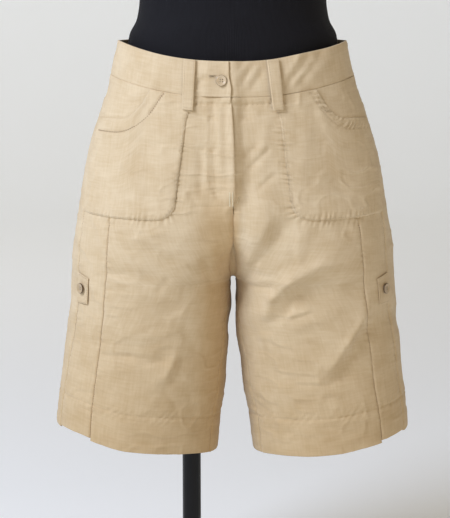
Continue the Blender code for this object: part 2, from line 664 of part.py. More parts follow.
def make_buttons():
    angle, along = on_front(RIGHT, -WAIST_BUTTON_ACROSS, WAIST_BUTTON_DROP)
    make_button("waist_button", RIGHT, angle, along, BAND_PROUD + BAND_LIFT)
    for side in (RIGHT, LEFT):
        make_button("tab_button_" + SIDE_NAMES[side], side, math.radians(TAB_BUTTON_ANGLE), TAB_BUTTON_DROP,
                    LAYER_AIR + TAB_CLOTH)


def loft(name, rings, material):
    """A closed body through rings of points, with flat ends."""
    mesh = bmesh.new()
    loops = [[mesh.verts.new(Vector(point)) for point in ring] for ring in rings]
    for upper, lower in zip(loops, loops[1:]):
        for i in range(len(upper)):
            k = (i + 1) % len(upper)
            mesh.faces.new((upper[i], upper[k], lower[k], lower[i]))
    mesh.faces.new(loops[0])
    mesh.faces.new(loops[-1][::-1])
    bmesh.ops.recalc_face_normals(mesh, faces=mesh.faces)
    return finish(name, mesh, material)


def oval(half_width, front_depth, back_depth, squareness, z, angles):
    """A ring of points at one height."""
    cosine, sine = np.cos(angles), np.sin(angles)
    power = 2.0 / squareness
    depth = np.where(sine > 0, front_depth, back_depth)
    across = half_width * np.sign(cosine) * np.abs(cosine) ** power
    forward = depth * np.sign(sine) * np.abs(sine) ** power
    return np.stack((across, -forward, z + 0 * across), axis=-1)


def make_form():
    angles = np.linspace(0.0, 2 * math.pi, FORM_CELLS, endpoint=False)
    front, back = np.maximum(np.sin(angles), 0) ** 2, np.minimum(np.sin(angles), 0) ** 2
    rings = []
    for drop, half_width, front_depth, back_depth in zip(*FORM_TOP_RINGS.values()):
        rings.append(oval(half_width, front_depth, back_depth, FORM_TOP_SQUARENESS, WAIST_Z - drop, angles))
    for drop, side_air, front_air, back_air in zip(*FORM_RINGS.values()):
        at = np.array(drop)
        waist = (1.0 - ease(drop, *DIP_FADES)) * ease(drop, -0.02, 0.03)
        z = WAIST_Z - drop - waist * (FRONT_DIP * front - BACK_RISE * back)
        rings.append(oval(read(SECTIONS, "half_width", at) - side_air,
                          read(SECTIONS, "front_depth", at) - front_air,
                          read(SECTIONS, "back_depth", at) - back_air,
                          read(SECTIONS, "squareness", at), z, angles))
    loft("form_torso", rings, JERSEY)
    top = [column[0] for column in FORM_TOP_RINGS.values()]
    cap_z = WAIST_Z - top[0] + SEAM_GAP
    sizes = [size - CAP_INSET for size in top[1:]]
    cap_rings = []
    for inset, height in ((CAP_BEVEL, CAP_THICK), (0.0, CAP_THICK - CAP_BEVEL), (0.0, CAP_BEVEL),
                          (CAP_BEVEL, 0.0)):
        cap_rings.append(oval(*[size - inset for size in sizes], FORM_TOP_SQUARENESS, cap_z + height, angles))
    loft("form_cap", cap_rings, BLACK_PAINT)


def make_stand():
    """A round foot, a hub on it, and the pole that reaches the underside of the form."""
    pole_top = WAIST_Z - FORM_RINGS["drop"][-1] - SEAM_GAP
    pole_foot = BASE_THICK + SEAM_GAP
    bpy.ops.mesh.primitive_cylinder_add(vertices=STAND_STEPS, radius=POLE_RADIUS, depth=pole_top - pole_foot,
                                        location=(POLE_ACROSS, 0.0, (pole_top + pole_foot) / 2))
    take_over("form_pole", BLACK_PAINT)
    bpy.ops.mesh.primitive_cylinder_add(vertices=BASE_STEPS, radius=BASE_RADIUS, depth=BASE_THICK,
                                        location=(POLE_ACROSS, 0.0, BASE_THICK / 2))
    plate = take_over("base_plate", BLACK_PAINT)
    bevel = plate.modifiers.new("rounded_edge", "BEVEL")
    bevel.width = BASE_BEVEL
    bevel.segments = 2
    bore, foot = POLE_RADIUS + SEAM_GAP, BASE_THICK + SEAM_GAP
    outside = [(HUB_RADIUS * out, foot + HUB_HEIGHT * up) for out, up in HUB_OUTLINE]
    profile = [(bore, foot + HUB_HEIGHT), *outside, (bore, foot), (bore, foot + HUB_HEIGHT)]
    hub = turned("base_hub", profile, STAND_STEPS, BLACK_PAINT)
    hub.location = (POLE_ACROSS, 0.0, 0.0)


def take_over(name, material):
    """Names the primitive just added and moves it into the shorts' collection."""
    thing = bpy.context.object
    thing.name = name
    thing.data.name = name
    for collection in list(thing.users_collection):
        collection.objects.unlink(thing)
    PARTS.objects.link(thing)
    thing.data.materials.append(surface_finish(*material))
    thing.data.shade_smooth()
    thing.data.set_sharp_from_angle(angle=math.radians(35.0))
    return thing


for old in list(bpy.data.objects):
    bpy.data.objects.remove(old, do_unlink=True)
PARTS = bpy.data.collections.new("bermuda_shorts_on_form")
bpy.context.scene.collection.children.link(PARTS)

make_panels()
make_waistband()
make_pockets()
make_belt_loops()
make_side_tabs()
make_buttons()
make_form()
make_stand()
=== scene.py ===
import math
import bmesh
import bpy
import numpy as np
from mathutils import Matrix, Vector


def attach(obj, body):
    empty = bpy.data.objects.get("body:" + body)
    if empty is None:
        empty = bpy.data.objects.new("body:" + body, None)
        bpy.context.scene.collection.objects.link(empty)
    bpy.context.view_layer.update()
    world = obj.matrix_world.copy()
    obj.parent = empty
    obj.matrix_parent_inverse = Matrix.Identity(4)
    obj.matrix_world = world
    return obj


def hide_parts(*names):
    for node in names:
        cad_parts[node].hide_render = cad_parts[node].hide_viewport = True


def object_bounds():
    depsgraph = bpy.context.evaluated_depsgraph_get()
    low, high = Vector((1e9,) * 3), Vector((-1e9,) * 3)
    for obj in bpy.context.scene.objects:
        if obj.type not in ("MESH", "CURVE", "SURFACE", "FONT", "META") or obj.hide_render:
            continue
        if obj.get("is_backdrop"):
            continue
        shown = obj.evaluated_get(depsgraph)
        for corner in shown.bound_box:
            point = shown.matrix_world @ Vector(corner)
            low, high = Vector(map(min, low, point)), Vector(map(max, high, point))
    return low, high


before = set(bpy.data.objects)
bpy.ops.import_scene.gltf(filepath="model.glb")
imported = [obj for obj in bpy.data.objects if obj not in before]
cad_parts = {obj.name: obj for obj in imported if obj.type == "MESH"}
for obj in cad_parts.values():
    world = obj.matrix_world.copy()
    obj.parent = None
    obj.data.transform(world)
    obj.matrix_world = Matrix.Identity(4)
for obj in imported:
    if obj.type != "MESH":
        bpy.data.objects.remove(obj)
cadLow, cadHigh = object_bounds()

# Bermuda shorts on a trouser form. Metres, +Z up, the front faces -Y, the wearer's right is at -X.
# "drop" is how far down the cloth a point lies from the top of the waistband at the side, "seen" how far
# below that level it ends up, and "around" the angle round the body or leg: 0 at its outer side, 90 degrees
# in front, 180 inside, below 0 behind. A path is a side with the angles and drops along it.
right, left = -1, 1
word = {right: "right", left: "left"}
title = {right: "Right", left: "Left"}
millimetre = 0.001

# The cut has the same sizes as the solids.
cut = dict(waistZ=0.771, hemDrop=0.546, hemDepth=0.050, hemRiseFrom=0.300, stripStep=0.003,
           crotchDrop=0.3055, bandHeight=0.044, frontDip=0.026, backRise=0.008, dipFades=(0.050, 0.240),
           seamGap=0.0003, layerAir=0.0007, seatZone=(0.060, 0.130))
thick = dict(panel=0.0014, hem=0.0026, band=0.0024, bandProud=0.0008, pocket=0.0013, facing=0.0010,
             tab=0.0012, loop=0.0020)


def columns(names, *rows, scale=1.0):  # named columns of numbers, one row for each section, crease or station
    return dict(zip(names.split(), scale * np.array(rows, dtype=float).T))


sections = columns(
    "drop halfWidth front back square innerSquare",
    (0.000, 0.1463, 0.102, 0.104, 2.35, 2.35),
    (0.044, 0.1563, 0.106, 0.110, 2.35, 2.35),
    (0.080, 0.1685, 0.110, 0.117, 2.38, 2.38),
    (0.120, 0.1815, 0.113, 0.125, 2.40, 2.40),
    (0.160, 0.1928, 0.115, 0.130, 2.40, 2.40),
    (0.200, 0.2000, 0.115, 0.132, 2.38, 2.38),
    (0.240, 0.2062, 0.112, 0.130, 2.28, 2.30),
    (0.280, 0.2103, 0.107, 0.126, 2.14, 2.36),
    (0.306, 0.2125, 0.103, 0.122, 2.08, 2.44),
    (0.350, 0.2163, 0.098, 0.115, 2.05, 2.36),
    (0.400, 0.2212, 0.093, 0.108, 2.06, 2.16),
    (0.450, 0.2250, 0.090, 0.103, 2.08, 2.10),
    (0.500, 0.2300, 0.088, 0.099, 2.10, 2.10),
    (0.546, 0.2342, 0.087, 0.097, 2.10, 2.10))
fork = columns(
    "drop parted",
    (0.000, 0.00), (0.150, 0.00), (0.190, 0.08), (0.220, 0.25), (0.240, 0.45), (0.260, 0.65),
    (0.275, 0.79), (0.290, 0.915), (0.300, 0.973), (0.3055, 1.00), (0.340, 1.00), (0.546, 1.00))
innerSides = columns(
    "drop right left",
    (0.000, 0.0000, 0.0000), (0.295, 0.0000, 0.0000), (0.3055, 0.0004, 0.0004), (0.3100, 0.0032, 0.0044),
    (0.3280, 0.0031, 0.0043), (0.3460, 0.0020, 0.0026), (0.3700, 0.0042, 0.0038), (0.4120, 0.0062, 0.0085),
    (0.4560, 0.0102, 0.0139), (0.5000, 0.0178, 0.0235), (0.5460, 0.0215, 0.0290))
hemRises = columns(
    "outward right left",
    (0.00, 0.0055, 0.0055), (0.15, 0.0116, 0.0101), (0.35, 0.0164, 0.0131), (0.55, 0.0212, 0.0177),
    (0.70, 0.0288, 0.0238), (0.85, 0.0377, 0.0299), (1.00, 0.0425, 0.0375))
seamAngles = columns(
    "drop frontRight frontLeft side inseamTurn",
    (0.000, 37.0, 37.0, 9.0, 0.0), (0.050, 38.0, 38.0, 13.0, 0.0), (0.100, 40.5, 40.5, 16.5, 0.0),
    (0.160, 43.5, 43.5, 20.0, 0.0), (0.215, 48.0, 47.2, 23.0, 0.0), (0.240, 52.0, 50.0, 24.5, 0.0),
    (0.270, 56.0, 53.5, 27.0, 0.0), (0.306, 58.8, 56.0, 29.5, 0.0), (0.318, 59.0, 56.3, 29.5, 1.5),
    (0.345, 58.9, 55.8, 29.5, 14.0), (0.380, 58.5, 55.0, 29.0, 22.0), (0.455, 58.0, 54.8, 25.5, 25.0),
    (0.546, 58.8, 52.8, 23.0, 26.0))
# Largest folds, each a bell across a line between two points, in millimetres across and of drop as seen from
# an azimuth. They are the folds that the solids have.
foldNames = "across1 down1 across2 down2 width height"
largeFolds = {  # by azimuth, in degrees
    0: columns(foldNames,
        (22, 235, 20, 300, 20, 2.2), (62, 236, 24, 292, 16, -3.6), (115, 276, 74, 300, 15, 3.4),
        (74, 300, 44, 342, 14, 3.2), (150, 312, 80, 322, 16, -3), (78, 324, 56, 352, 13, -2.2),
        (168, 342, 127, 416, 16, 3.2), (178, 368, 143, 428, 14, -2.6), (78, 434, 135, 438, 12, -1.6),
        (-158, 293, -112, 295, 12, -2), (-160, 313, -128, 318, 10, -1.4), (-165, 397, -66, 405, 12, -2.2),
        (-74, 405, -95, 440, 11, 2), (-26, 262, -44, 290, 18, 2.2), (-36, 300, -80, 340, 16, -1.8),
        scale=millimetre),
    90: columns(foldNames,
        (-45, 352, 30, 392, 18, -2.2), (50, 215, -10, 262, 18, 1.4), scale=millimetre),
    -90: columns(foldNames,
        (40, 318, -30, 372, 18, -2), (-45, 245, 15, 280, 18, 1.4), scale=millimetre),
    180: columns(foldNames,
        (30, 330, 100, 372, 20, -2.2), (85, 305, 130, 322, 18, 1.4), (-30, 316, -90, 346, 20, -2.4),
        (-70, 370, -120, 400, 18, 1.6), (60, 238, 150, 250, 18, -1.6), (-60, 222, -150, 240, 18, -1.8),
        (60, 430, 150, 455, 18, -1.6), (-55, 455, -140, 435, 18, -1.6), scale=millimetre)}
# Creases of the linen itself, across and by how far down they are seen in front; the sharp ones peak along
# their lines.
creases = columns(
    foldNames,
    (0, 30, 0.5, 185, 9.5, 3), (18, 150, 12, 262, 13, -2.2), (-15, 195, -7, 256, 32, -2.8),
    (12.5, 85, 13, 190, 8.5, -1.2), (40, 205, 32, 290, 15, 1.5), (-159.4, 292.8, -139.8, 292.2, 4.5, -0.9),
    (-154.3, 312.9, -141.4, 314, 4.5, -0.8), (-137.5, 315.7, -115.9, 318.9, 6, 0.6),
    (-164.7, 399.4, -133.2, 400.5, 5, -1.2), (-133.2, 400.5, -95.1, 407.6, 6, -1.3),
    (-159.3, 390.9, -105.1, 394.6, 7.5, 0.8), (-74.9, 401.9, -85.1, 424.8, 4.8, 1.3),
    (-67.4, 410.1, -77.6, 432.9, 5, -0.9), (-92, 311.3, -81.9, 297.5, 4, -0.7),
    (-23.9, 258.6, -21.7, 286.3, 7.5, 1.2), (-35.6, 279, -25.5, 308.9, 6, -1),
    (-104.1, 260.4, -76.8, 276, 8, -0.8), (-116.6, 245.5, -91.2, 237, 6, 0.7),
    (-85.3, 446.9, -74, 464.5, 4, -0.5), (-59.7, 364.1, -47.2, 393.9, 8, -0.9),
    (-55, 455.7, -42.4, 510.4, 5, -0.7), (-103.2, 476.6, -55.1, 487.3, 6, -0.6),
    (-144.5, 487.4, -93.2, 503, 7, 0.6), (23.3, 242.3, 14.3, 290.5, 8, 1.2),
    (56.9, 238.8, 18, 293.5, 7.5, -1.3), (16.8, 310.7, 46.8, 309.9, 4, -0.7),
    (103.9, 280.6, 71.6, 299.2, 6, 1.4), (71.6, 299.2, 50.6, 322.4, 6, 1.7),
    (50.6, 322.4, 43.2, 343.8, 5.5, 1.3), (148.9, 313.2, 106.7, 312.6, 7, -0.5),
    (106.7, 312.6, 76.7, 324.3, 8, -0.4), (76.7, 324.3, 58.5, 345.3, 7, -0.5),
    (82, 360.2, 107.1, 352.1, 5, 0.6), (165.4, 350.1, 145.9, 380.5, 5, 1.6),
    (145.9, 380.5, 128.1, 410.6, 6, 1.3), (172.5, 369.2, 151.4, 400.5, 7.5, -0.5),
    (151.4, 400.5, 136, 427.9, 7.5, -0.4), (85.1, 437.8, 123.2, 437.7, 4, -0.6),
    (24.5, 369, 37.2, 395.4, 7, -0.8), (37.1, 379.7, 29.7, 423, 6, 0.7),
    (123.8, 492.7, 170.5, 505.6, 5, -0.7), (60.3, 491.9, 98.3, 500.2, 6, 0.6),
    (134.1, 226.1, 163.7, 258.9, 8, -0.8), (90.7, 232, 83.8, 263.1, 7, 0.8),
    (35.8, 241.1, 43.1, 223.6, 6, 0.7), (-122.1, 77.8, -106.7, 79.3, 3, -0.9),
    (-90.3, 55.2, -85.3, 67.3, 5, -0.5), (-24.9, 77.9, -24.4, 134.3, 2.8, -1),
    (-24.4, 134.3, -21.3, 191.1, 2.8, -0.9), (-16.9, 79.1, -15.7, 158.9, 3.4, 0.9),
    (-38.5, 107.3, -41.1, 183.8, 5.5, -1.1), (-32.9, 95, -32.4, 177.5, 3, 0.7),
    (-9, 87.7, -6.5, 177.4, 3, -0.6), (-51, 191.3, -46.1, 202.4, 4, -0.7), (3.2, 51.1, 15.4, 30.6, 3, 0.9),
    (9.4, 56, 20.3, 36.6, 3, -0.8), (17.9, 51.2, 28.9, 34.2, 3.2, 1), (24, 58.4, 35, 41.5, 3, -0.8),
    (5.7, 39, 11.8, 26.9, 2.6, -0.6), (62.1, 48.9, 83.1, 19.8, 4.2, 0.9), (68.3, 53.8, 89.4, 27.1, 4, -0.8),
    (74.5, 53.8, 99.5, 27.2, 4.2, 0.9), (83.3, 51.4, 107.2, 19.9, 4.5, -0.7),
    (97.1, 46.7, 120.3, 22.4, 5, 0.6), (18.2, 160.1, 41.5, 135.6, 3.6, -0.9),
    (12, 156.4, 35.3, 131.8, 5, 0.6), (34.3, 180, 49.1, 166.5, 3.6, -0.8),
    (15.6, 97.4, 23.1, 146.6, 8, -0.7), (42.6, 100, 35.4, 134.3, 6, 0.6),
    (110.2, 135.4, 133.7, 185.9, 10, -0.7), (89.9, 110.3, 82.6, 159.5, 8, 0.6),
    (-103.2, 135.2, -108.5, 184.9, 10, -0.6), (-131.4, 160.9, -116.2, 203.9, 9, 0.6), scale=millimetre)
sharpCreases = columns(
    foldNames,
    (-110.3, 408.9, -90.1, 406.4, 4, -0.7), (16.8, 295.1, 36.8, 293.6, 2.2, -0.6),
    (14.3, 302.2, 44.3, 294.7, 2.2, -0.5), (70.7, 346.6, 93.2, 338.7, 2.4, 0.8),
    (74.5, 351.5, 95.7, 343.2, 2.6, -0.9), (63.2, 350.9, 71.9, 340.1, 3, -0.6),
    (83.8, 432.6, 110.4, 432.9, 2.2, 0.7), (123.4, 453.4, 149.5, 457.7, 3.5, -0.6),
    (32.4, 462.1, 53.8, 469, 2.8, -0.6), (29.9, 470.6, 45.1, 478.2, 2.8, -0.6),
    (106.5, 283.2, 107.9, 301, 2.2, -0.4), (-46.3, 53.6, -35.3, 47.5, 2.2, -0.8),
    (-35.3, 47.5, -23.6, 47.3, 2.2, -0.8), (-51.1, 205, -10.2, 204.8, 2.2, -0.6),
    (-44.6, 92.6, -28.6, 94.4, 2.2, -0.6), (-43.4, 100, -28.6, 102.4, 2.2, -0.6), scale=millimetre)


def easeStep(value, start, end):  # 0 before start, 1 after end, a smooth step between
    t = np.clip((value - start) / (end - start), 0.0, 1.0)
    return t * t * (3.0 - 2.0 * t)


def cubic(t, step, start, end, slopeStart, slopeEnd):  # from one value to the next with these slopes
    return (start * (1 + 2 * t) * (1 - t) ** 2 + end * t * t * (3 - 2 * t)
            + step * (slopeStart * t * (1 - t) ** 2 - slopeEnd * t * t * (1 - t)))


def unit(vectors):  # the same directions, one long
    return vectors / np.linalg.norm(vectors, axis=-1, keepdims=True)


def runAlong(points):  # running length of a line of points, from 0
    return np.concatenate(([0.0], np.cumsum(np.linalg.norm(np.diff(points, axis=0), axis=-1))))


def stepsBetween(top, bottom, step):  # even values, about this far apart
    return np.linspace(top, bottom, int(abs(bottom - top) / step) + 2)


def readColumn(rows, name, at):  # a smooth curve through a column, by the first one; it never overshoots
    x, y = next(iter(rows.values())), rows[name]
    step = np.diff(x)
    slope = np.diff(y) / step
    tangent = np.zeros_like(y)
    sameWay = slope[:-1] * slope[1:] > 0
    both = np.where(sameWay, slope[:-1] + slope[1:], 1)
    tangent[1:-1] = np.where(sameWay, 2 * slope[:-1] * slope[1:] / both, 0)
    tangent[0], tangent[-1] = slope[0], slope[-1]
    at = np.clip(at, x[0], x[-1])
    i = np.clip(np.searchsorted(x, at, side="right") - 1, 0, len(x) - 2)
    return cubic((at - x[i]) / step[i], step[i], y[i], y[i + 1], tangent[i], tangent[i + 1])


def squareAt(drop, outward):  # how square the ring is, on its outer half or on the half towards the other leg
    inner, outer = readColumn(sections, "innerSquare", drop), readColumn(sections, "square", drop)
    return np.where(outward < 0, inner, outer)


def bareFace(side, around, drop):
    # The cloth without folds: one superellipse round the body that parts into a ring round each leg.
    halfWidth = readColumn(sections, "halfWidth", drop)
    inner = readColumn(innerSides, word[side], drop)
    radius = (halfWidth - inner) / (1.0 + readColumn(fork, "parted", drop))
    cosine, sine = np.cos(around), np.sin(around)
    power = 2.0 / squareAt(drop, cosine)
    depth = np.where(sine > 0, readColumn(sections, "front", drop), readColumn(sections, "back", drop))
    across = halfWidth - radius + radius * np.sign(cosine) * np.abs(cosine) ** power
    forward = depth * np.sign(sine) * np.abs(sine) ** power
    waist = 1.0 - easeStep(drop, *cut["dipFades"])
    dip = cut["frontDip"] * np.maximum(sine, 0.0) ** 2 - cut["backRise"] * np.minimum(sine, 0.0) ** 2
    outerShare = (across - inner) / (halfWidth - inner)
    z = (cut["waistZ"] - drop - waist * dip
         + easeStep(drop, cut["hemRiseFrom"], cut["hemDrop"]) * readColumn(hemRises, word[side], outerShare))
    return np.stack(np.broadcast_arrays(side * across, -forward, z), axis=-1)


def outward(side, around, drop, step=0.004):  # unit normals of the bare cloth, from differences along it
    turn = bareFace(side, around + step, drop) - bareFace(side, around - step, drop)
    fall = bareFace(side, around, drop + step) - bareFace(side, around, drop - step)
    return unit(np.cross(turn, fall) * side)


bellPlan = dict(seenFrom=(0.05, 0.45), past=1.5, peak=0.2)  # how square to the view, and how the ends fade


def bells(points, normal, down, rows, azimuth=0, sharp=False):
    # Sum over the rows of height * bell(distance to the line) * fade past its ends, on the side it is
    # seen from.
    b, angle = bellPlan, math.radians(azimuth)
    across = points[..., 0] * math.cos(angle) + points[..., 1] * math.sin(angle)
    facing = normal[..., 0] * math.sin(angle) - normal[..., 1] * math.cos(angle)
    total = np.zeros(points.shape[:-1])
    for across1, down1, across2, down2, width, height in zip(*rows.values()):
        length = math.hypot(across2 - across1, down2 - down1)
        alongA, alongD = (across2 - across1) / length, (down2 - down1) / length
        run = (across - across1) * alongA + (down - down1) * alongD
        off = ((across - across1) * alongD - (down - down1) * alongA) / width
        past = np.maximum(np.maximum(-run, run - length), 0.0) / (b["past"] * width)
        bell = np.exp(b["peak"] - np.sqrt(off ** 2 + b["peak"] ** 2)) if sharp else np.exp(-off ** 2)
        total += height * bell * np.exp(-past ** 2)
    return total * easeStep(facing, *b["seenFrom"])


def smoothNoise(points, size, seed):  # random values at the corners of cubes of this size, blended between
    cell = points / np.asarray(size) + 31.7 * seed
    low = np.floor(cell).astype(np.int64)
    t = cell - low
    t = t * t * t * (t * (t * 6 - 15) + 10)
    total = np.zeros(points.shape[:-1])
    for corner in range(8):
        step = np.array([corner & 1, corner >> 1 & 1, corner >> 2 & 1])
        at = low + step
        key = (at[..., 0] * 73856093) ^ (at[..., 1] * 19349663) ^ (at[..., 2] * 83492791) ^ (seed * 40503)
        key = (key ^ (key >> 13)) * 1274126177 & 0xffffffff
        key = (key ^ (key >> 16)) & 0xffff
        total += (key / 32767.5 - 1.0) * np.prod(np.where(step == 1, t, 1 - t), axis=-1)
    return total


linenLife = dict(creases=1.6, swell=0.0011, swellSize=0.050, wander=0.006, wanderSize=0.03, crumple=0.00100,
                 crumpleSize=0.017, ridge=0.16, patchSize=0.045, fine=0.00036, fineSize=0.0075,
                 hemSway=0.0022, hemSwaySize=0.075, hemSwayFrom=0.40)


def linenRelief(points, drop):
    # Soft swells, a net of thin ridges where one noise crosses zero, a finer unevenness, a sway at the hem.
    l = linenLife
    swell = l["swell"] * smoothNoise(points, l["swellSize"], 3)
    drift = np.stack([smoothNoise(points, l["wanderSize"], seed) for seed in (5, 6, 7)], axis=-1)
    bent = points + l["wander"] * drift
    net = smoothNoise(bent, np.array((1.7, 1.7, 1.0)) * l["crumpleSize"], 11)
    patch = 0.35 + 0.65 * easeStep(smoothNoise(points, l["patchSize"], 15), -0.3, 0.5)
    crumple = l["crumple"] * (np.exp(-(net / l["ridge"]) ** 2) - 0.45) * patch
    fine = l["fine"] * smoothNoise(bent, np.array((1.5, 1.5, 1.0)) * l["fineSize"], 19)
    sway = l["hemSway"] * smoothNoise(points * (1, 1, 0.25), l["hemSwaySize"], 23)
    sway = sway * easeStep(drop, l["hemSwayFrom"], cut["hemDrop"])
    return swell + crumple + fine + sway


# Where the form fills the cloth, how far in the cloth may sink there and elsewhere, and the part of the front
# that moves straight in or out.
snugPlan = dict(seatFadeIn=0.020, seatFadeOut=0.030, fadeIn=0.018, fadeFrom=0.106, sink=0.0006,
                sinkLoose=0.0060, sinkLow=0.0040, sinkLowFades=(0.165, 0.200), middleFades=(0.006, 0.030),
                middleBegins=(0.15, 0.19), middleEnds=(0.258, 0.272))


def clothFace(side, around, drop, lift=0.0, marks=(), life=1.0):
    # Outer face = bare form + normal * (large folds + creases + linen relief + seams' relief + lift).
    s = snugPlan
    around, drop = np.broadcast_arrays(np.asarray(around, float), np.asarray(drop, float))
    base = bareFace(side, around, drop)
    normal = outward(side, around, drop)
    folds = sum(bells(base, normal, drop, rows, azimuth) for azimuth, rows in largeFolds.items())
    top, bottom = cut["seatZone"]
    seated = easeStep(drop, top - s["seatFadeIn"], top)
    seated = seated * (1 - easeStep(drop, bottom, bottom + s["seatFadeOut"]))
    folds = np.where(folds < 0, folds * (1 - seated), folds)
    down = cut["waistZ"] - base[..., 2]
    small = bells(base, normal, down, creases) + bells(base, normal, down, sharpCreases, sharp=True)
    height = folds + (small * linenLife["creases"] + linenRelief(base, drop)) * life
    for mark in marks:
        height = height + seamRelief(base, mark)
    # Where the form fills the cloth it can't sink in further than the form lets it.
    snug = easeStep(drop, top, top + s["fadeIn"]) * (1 - easeStep(drop, s["fadeFrom"], bottom))
    deepest = s["sink"] + s["sinkLoose"] * (1 - snug) + s["sinkLow"] * easeStep(drop, *s["sinkLowFades"])
    height = np.maximum(height, -deepest)
    # Near the middle of the front it moves straight in or out, so that its two halves stay together.
    middle = (1 - easeStep(np.abs(base[..., 0]), *s["middleFades"])) * easeStep(drop, *s["middleBegins"]) \
        * (1 - easeStep(drop, *s["middleEnds"])) * (normal[..., 1] < 0)
    push = normal * np.stack((1 - middle, np.ones_like(middle), np.ones_like(middle)), axis=-1)
    return base + push * (height + lift)[..., None], normal


def nearest(points, line):  # signed distance to a polyline, and how far along it the nearest point is
    start, step = line["points"][:-1], np.diff(line["points"], axis=0)
    span = (step ** 2).sum(-1)
    t = np.clip(np.einsum("nmk,mk->nm", points[:, None] - start[None], step) / span, 0, 1)
    apart = points[:, None] - start[None] - t[..., None] * step[None]
    square = (apart ** 2).sum(-1)
    k = square.argmin(1)
    n = np.arange(len(points))
    sideways = np.cross(step[k], line["normals"][k])
    sign = np.sign((apart[n, k] * sideways).sum(-1))
    return sign * np.sqrt(square[n, k]), line["run"][k] + t[n, k] * np.sqrt(span[k])


def pucker(run, pitch, seed):  # rounded hills with pinched valleys of uneven length and height
    phase = run / pitch + 0.17 * np.sin(2 * np.pi * run / (3.1 * pitch) + seed) \
        + 0.03 * np.sin(2 * np.pi * run / (1.37 * pitch) + 2.3 * seed)
    strength = 0.66 + 0.34 * np.sin(2 * np.pi * run / (6.3 * pitch) + 1.9 * seed)
    return (np.abs(np.sin(np.pi * phase)) ** 0.8 - 0.62) * strength


seamEase = dict(ends=0.012, oneSide=(-0.0015, 0.0005), bulk=0.0012, bulkEdge=0.0008)


def seamRelief(points, mark):
    # A groove along the line, puckers across it that die out sideways, and the bulk of a seam allowance.
    line = mark["line"]
    reach = 2.2 * max(mark["reach"], mark["width"], mark["bulkWidth"])
    low, high = line["points"].min(0) - reach, line["points"].max(0) + reach
    near = ((points > low) & (points < high)).all(-1)
    height = np.zeros(points.shape[:-1])
    if near.any():
        off, run = nearest(points[near], line)
        apart = np.abs(off)
        ends = easeStep(run, mark["begin"], mark["begin"] + seamEase["ends"])
        rise = mark["pucker"] * pucker(run + mark["slant"] * off, mark["pitch"], mark["seed"])
        rise = rise * np.exp(-(apart / mark["reach"]) ** 2)
        if mark["only"]:
            rise = rise * easeStep(off * mark["only"], *seamEase["oneSide"])
        groove = -mark["groove"] * np.exp(-(apart / mark["width"]) ** 2)
        bulk = 0.0
        if mark["bulk"]:
            toward, far = off * mark["bulkSide"], mark["bulkWidth"]
            bulk = mark["bulk"] * easeStep(toward, 0.0, seamEase["bulk"]) * (
                1 - easeStep(toward, far - seamEase["bulkEdge"], far + seamEase["bulk"]))
        height[near] = (rise + groove + bulk) * ends
    return height


def mark(line, groove=0.0, width=0.0009, pucker=0.0, pitch=0.010, reach=0.007, bulk=0.0, bulkWidth=0.0,
         bulkSide=1, slant=0.25, only=0, begin=-1.0, seed=1):  # what seamRelief needs to know of one line
    return dict(locals())


def pathLine(path):  # the points, normals and running length of a path over the bare cloth
    points = bareFace(*path.values())
    return dict(points=points, normals=outward(*path.values()), run=runAlong(points))


def makePath(side, around, drop):  # a side with the angles and drops of a line on it
    around, drop = np.broadcast_arrays(np.asarray(around, float), np.asarray(drop, float))
    return dict(side=side, around=around, drop=drop)


def frontStart(drop):  # angle of the centre front, the crotch curve or the inseam
    parted = np.clip(readColumn(fork, "parted", drop), 0, 1)
    above = math.pi - np.arccos(parted ** (squareAt(drop, -1.0) / 2.0))
    turn = np.radians(readColumn(seamAngles, "inseamTurn", drop))
    return np.where(drop < cut["crotchDrop"], above, math.pi) - turn


def backEnd(drop):  # angle of the centre back, the crotch curve or the inseam, from behind
    start = frontStart(drop)
    return np.where(drop < cut["crotchDrop"], -start, start - 2 * math.pi)


def angleAt(side, across, drop, back=False):  # angle whose point on the ring lies this far across
    halfWidth = readColumn(sections, "halfWidth", drop)
    radius = (halfWidth - readColumn(innerSides, word[side], drop)) / (1 + readColumn(fork, "parted", drop))
    share = np.clip((across - halfWidth + radius) / radius, -1.0, 1.0)
    angle = np.arccos(np.sign(share) * np.abs(share) ** (squareAt(drop, share) / 2.0))
    return -angle if back else angle


def seenDrop(seen, angle):  # the drop along the cloth of a point seen this far down
    level = seen
    for _ in range(4):
        level = seen - cut["frontDip"] * (1.0 - easeStep(level, *cut["dipFades"])) * np.sin(angle) ** 2
    return level


def onFront(side, across, seen):  # angle and drop of points given across and down as seen
    level = seen
    for _ in range(4):
        angle = angleAt(side, across, level)
        level = seenDrop(seen, angle)
    return angle, level


def smoothCurve(knots, spacing=0.003):  # a cubic through flat knots, resampled at even steps
    knots = np.asarray(knots, float)
    at = runAlong(knots)
    slope = np.gradient(knots, at, axis=0)
    fine = np.linspace(0, at[-1], max(3, int(at[-1] / spacing) + 1))
    i = np.clip(np.searchsorted(at, fine, side="right") - 1, 0, len(at) - 2)
    step = (at[i + 1] - at[i])[:, None]
    return cubic((fine - at[i])[:, None] / step, step, knots[i], knots[i + 1], slope[i], slope[i + 1])


def frontPath(side, knots):  # a path through (across, seen) knots on the front
    flat = smoothCurve(knots)
    return makePath(side, *onFront(side, flat[:, 0], flat[:, 1]))


def aside(flat, distance):  # a flat curve moved sideways, to its right as it runs with down counted up
    along = unit(np.gradient(flat, axis=0))
    return flat + distance * np.stack((-along[:, 1], along[:, 0]), axis=1)


